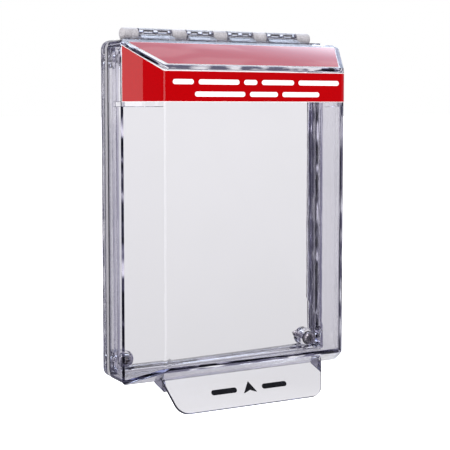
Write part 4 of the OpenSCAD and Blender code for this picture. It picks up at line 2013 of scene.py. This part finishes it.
@dataclass
class Studio:
    """Camera, pale floor, pale room and soft lamps."""

    eye: tuple[float, float, float] = (-0.35892, -0.67270, 0.06348)  # where the camera stands
    yaw: float = 28.661  # its turn from +y towards +x, in degrees
    tilt: float = 4.2  # how far it looks down, in degrees
    lens: float = 93.648  # its focal length in millimetres
    rise: float = -0.0692  # its upward shift, as a share of its view
    card_side: float = 60.0  # the bright card's turn from -y towards -x, in degrees
    floor_z: float = -0.2  # height of the floor
    floor_size: float = 60.0  # its width and depth

    def build(self) -> None:
        """Builds the whole studio."""
        self.camera()
        self.floor()
        self.room()
        for lamp in self.lamps():
            lamp.build()
        bpy.context.scene.view_settings.view_transform = "Standard"

    def camera(self) -> None:
        """Adds the camera and makes it the scene's."""
        data = bpy.data.cameras.new("camera")
        data.lens, data.sensor_width, data.shift_y = self.lens, 36.0, self.rise
        data.clip_start, data.clip_end = 0.01, 200.0
        camera = bpy.data.objects.new("camera", data)
        camera.location = self.eye
        camera.rotation_euler = Euler((math.radians(90 - self.tilt), 0.0, -math.radians(self.yaw)))
        bpy.context.scene.collection.objects.link(camera)
        bpy.context.scene.camera = camera

    def floor(self) -> None:
        """Adds a wide pale floor that only the camera and soft light see."""
        half = self.floor_size / 2
        side = np.linspace(-half, half, 3)
        x, y = np.meshgrid(side, side, indexing="ij")
        points = np.stack([x, y, np.full_like(x, self.floor_z)], -1).reshape(-1, 3)
        mesh = bpy.data.meshes.new("floor")
        mesh.from_pydata(points.tolist(), [], grid_quads(3, 3, wrap_cols=False).tolist())
        material = bpy.data.materials.new("pale_floor")
        material.use_nodes = True
        shader = material.node_tree.nodes["Principled BSDF"]
        shader.inputs["Base Color"].default_value = (0.8, 0.8, 0.8, 1)
        shader.inputs["Roughness"].default_value = 0.9
        shader.inputs["Emission Color"].default_value = (1, 1, 1, 1)
        shader.inputs["Emission Strength"].default_value = 1.0
        mesh.materials.append(material)
        floor = bpy.data.objects.new("floor", mesh)
        floor.visible_transmission = False
        floor.visible_glossy = False
        bpy.context.scene.collection.objects.link(floor)

    def room(self) -> None:
        """Sets the room: white to the camera, even to soft light, and a backdrop for the rest."""
        world = bpy.data.worlds.new("studio")
        bpy.context.scene.world = world
        world.use_nodes = True
        tree = world.node_tree
        way = wired(tree, "TexCoord").outputs["Generated"]
        path = wired(tree, "LightPath")
        seen = self.card(tree, way, self.graded(tree, way, self.backdrop(tree, way, path)))
        lit = mixed(tree, path.outputs["Is Diffuse Ray"], seen, (0.74, 0.74, 0.76))
        shown = mixed(tree, path.outputs["Is Camera Ray"], lit, (1.0, 1.0, 1.0))
        sky = tree.nodes["Background"]
        tree.links.new(shown, sky.inputs["Color"])
        sky.inputs["Strength"].default_value = 1.0

    def backdrop(
        self, tree: bpy.types.NodeTree, way: bpy.types.NodeSocket, path: bpy.types.Node,
    ) -> bpy.types.NodeSocket:
        """Colour of a dim room that brightens to white in the direction that the camera looks in.

        Pale patches break up the dim part, and what is seen straight through the plastic is pale.

        Args:
            tree: the world's tree.
            way: direction of the ray.
            path: the ray's kind and depth.

        Returns:
            The colour.
        """
        yaw = math.radians(self.yaw)
        facing = wired(
            tree, "VectorMath", {0: way, 1: (math.sin(yaw), math.cos(yaw), 0.0)},
            operation="DOT_PRODUCT",
        ).outputs["Value"]
        share = wired(tree, "MapRange", {"Value": facing, "From Min": -1.0})
        ramp = wired(tree, "ValToRGB", {0: share.outputs[0]})
        stops = [(0.0, (0.03, 0.03, 0.04)), (0.3, (0.05, 0.05, 0.07)), (0.4, (0.11, 0.105, 0.17)),
                 (0.86, (0.22, 0.21, 0.31)), (0.92, (0.66, 0.65, 0.72)), (0.96, (1.0, 1.0, 1.0))]
        ends = ramp.color_ramp.elements
        for end in (0, -1):
            ends[end].position, ends[end].color = stops[end][0], (*stops[end][1], 1)
        for place, colour in stops[1:-1]:
            ends.new(place).color = (*colour, 1)
        clouds = wired(tree, "TexNoise", {"Vector": way, "Scale": 7.0, "Detail": 2.0}).outputs["Fac"]
        gaps = wired(
            tree, "MapRange", {"Value": clouds, "From Min": 0.54, "From Max": 0.6, "To Max": 0.85},
        )
        edge = wired(tree, "MapRange", {"Value": facing, "From Min": -0.2, "From Max": 0.0})
        patches = wired(tree, "Math", {0: gaps.outputs[0], 1: edge.outputs[0]}, operation="MULTIPLY")
        broken = mixed(tree, patches.outputs[0], ramp.outputs[0], (0.8, 0.79, 0.86), "LIGHTEN")
        straight = wired(
            tree, "Math", {0: path.outputs["Glossy Depth"], 1: 0.5}, operation="LESS_THAN",
        )
        through = wired(
            tree, "Math", {0: straight.outputs[0], 1: path.outputs["Is Transmission Ray"]},
            operation="MULTIPLY",
        )
        return mixed(tree, through.outputs[0], broken, (0.72, 0.72, 0.75), "LIGHTEN")

    def graded(
        self, tree: bpy.types.NodeTree, way: bpy.types.NodeSocket, colour: bpy.types.NodeSocket,
    ) -> bpy.types.NodeSocket:
        """A colour that is a little darker below the horizon.

        Args:
            tree: the world's tree.
            way: direction of the ray.
            colour: the colour to grade.

        Returns:
            The graded colour.
        """
        height = wired(tree, "SeparateXYZ", {0: way}).outputs["Z"]
        fall = wired(
            tree, "MapRange",
            {"Value": height, "From Min": -0.25, "From Max": -0.02, "To Min": 0.86},
        )
        scaled = wired(tree, "VectorMath", {0: colour, 1: fall.outputs[0]}, operation="MULTIPLY")
        return scaled.outputs[0]

    def card(
        self, tree: bpy.types.NodeTree, way: bpy.types.NodeSocket, colour: bpy.types.NodeSocket,
    ) -> bpy.types.NodeSocket:
        """A colour with a tall bright card in it, which draws a line along upright edges.

        Args:
            tree: the world's tree.
            way: direction of the ray.
            colour: the colour round the card.

        Returns:
            The colour with the card.
        """
        side = math.radians(self.card_side)
        flat = wired(tree, "VectorMath", {0: way, 1: (1.0, 1.0, 0.3)}, operation="MULTIPLY")
        level = wired(tree, "VectorMath", {0: flat.outputs[0]}, operation="NORMALIZE")
        toward = wired(
            tree, "VectorMath", {0: level.outputs[0], 1: (-math.sin(side), -math.cos(side), 0.0)},
            operation="DOT_PRODUCT",
        ).outputs["Value"]
        share = wired(tree, "MapRange", {"Value": toward, "From Min": 0.975, "From Max": 0.98})
        return mixed(tree, share.outputs[0], colour, (2.0, 2.0, 2.1))

    def lamps(self) -> list[SoftBox]:
        """The soft lamps: a key, an overhead box behind, and a strip on the left.

        Returns:
            The lamps, not yet built.
        """
        middle = (0.0, -0.03, 0.0)
        return [
            SoftBox("key", (-0.5, -1.1, 0.9), middle, (0.7, 0.7), 5.0),
            SoftBox(
                "overhead", (0.47, 0.49, 0.80), (0.0, -0.04, 0.09), (0.9, 0.9), 5.6,
                tint=(0.7, 0.82, 1.0),
            ),
            SoftBox("strip", (-0.62, 0.24, 0.1), (0.0, 0.0, 0.1), (0.388, 0.07), 0.12),
        ]


def main() -> None:
    """Builds the object and its studio."""
    logging.basicConfig(level=logging.INFO, format="%(name)s: %(message)s")
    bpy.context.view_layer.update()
    finishes = Finishes.built(Groups.built())
    for part in (WallSide(), Hinge(), Cover()):
        part.build(finishes)
        log.info("%s built: %s", type(part).__name__, ", ".join(made.name for made in part.made))
    Studio().build()


if __name__ == "__main__":
    main()
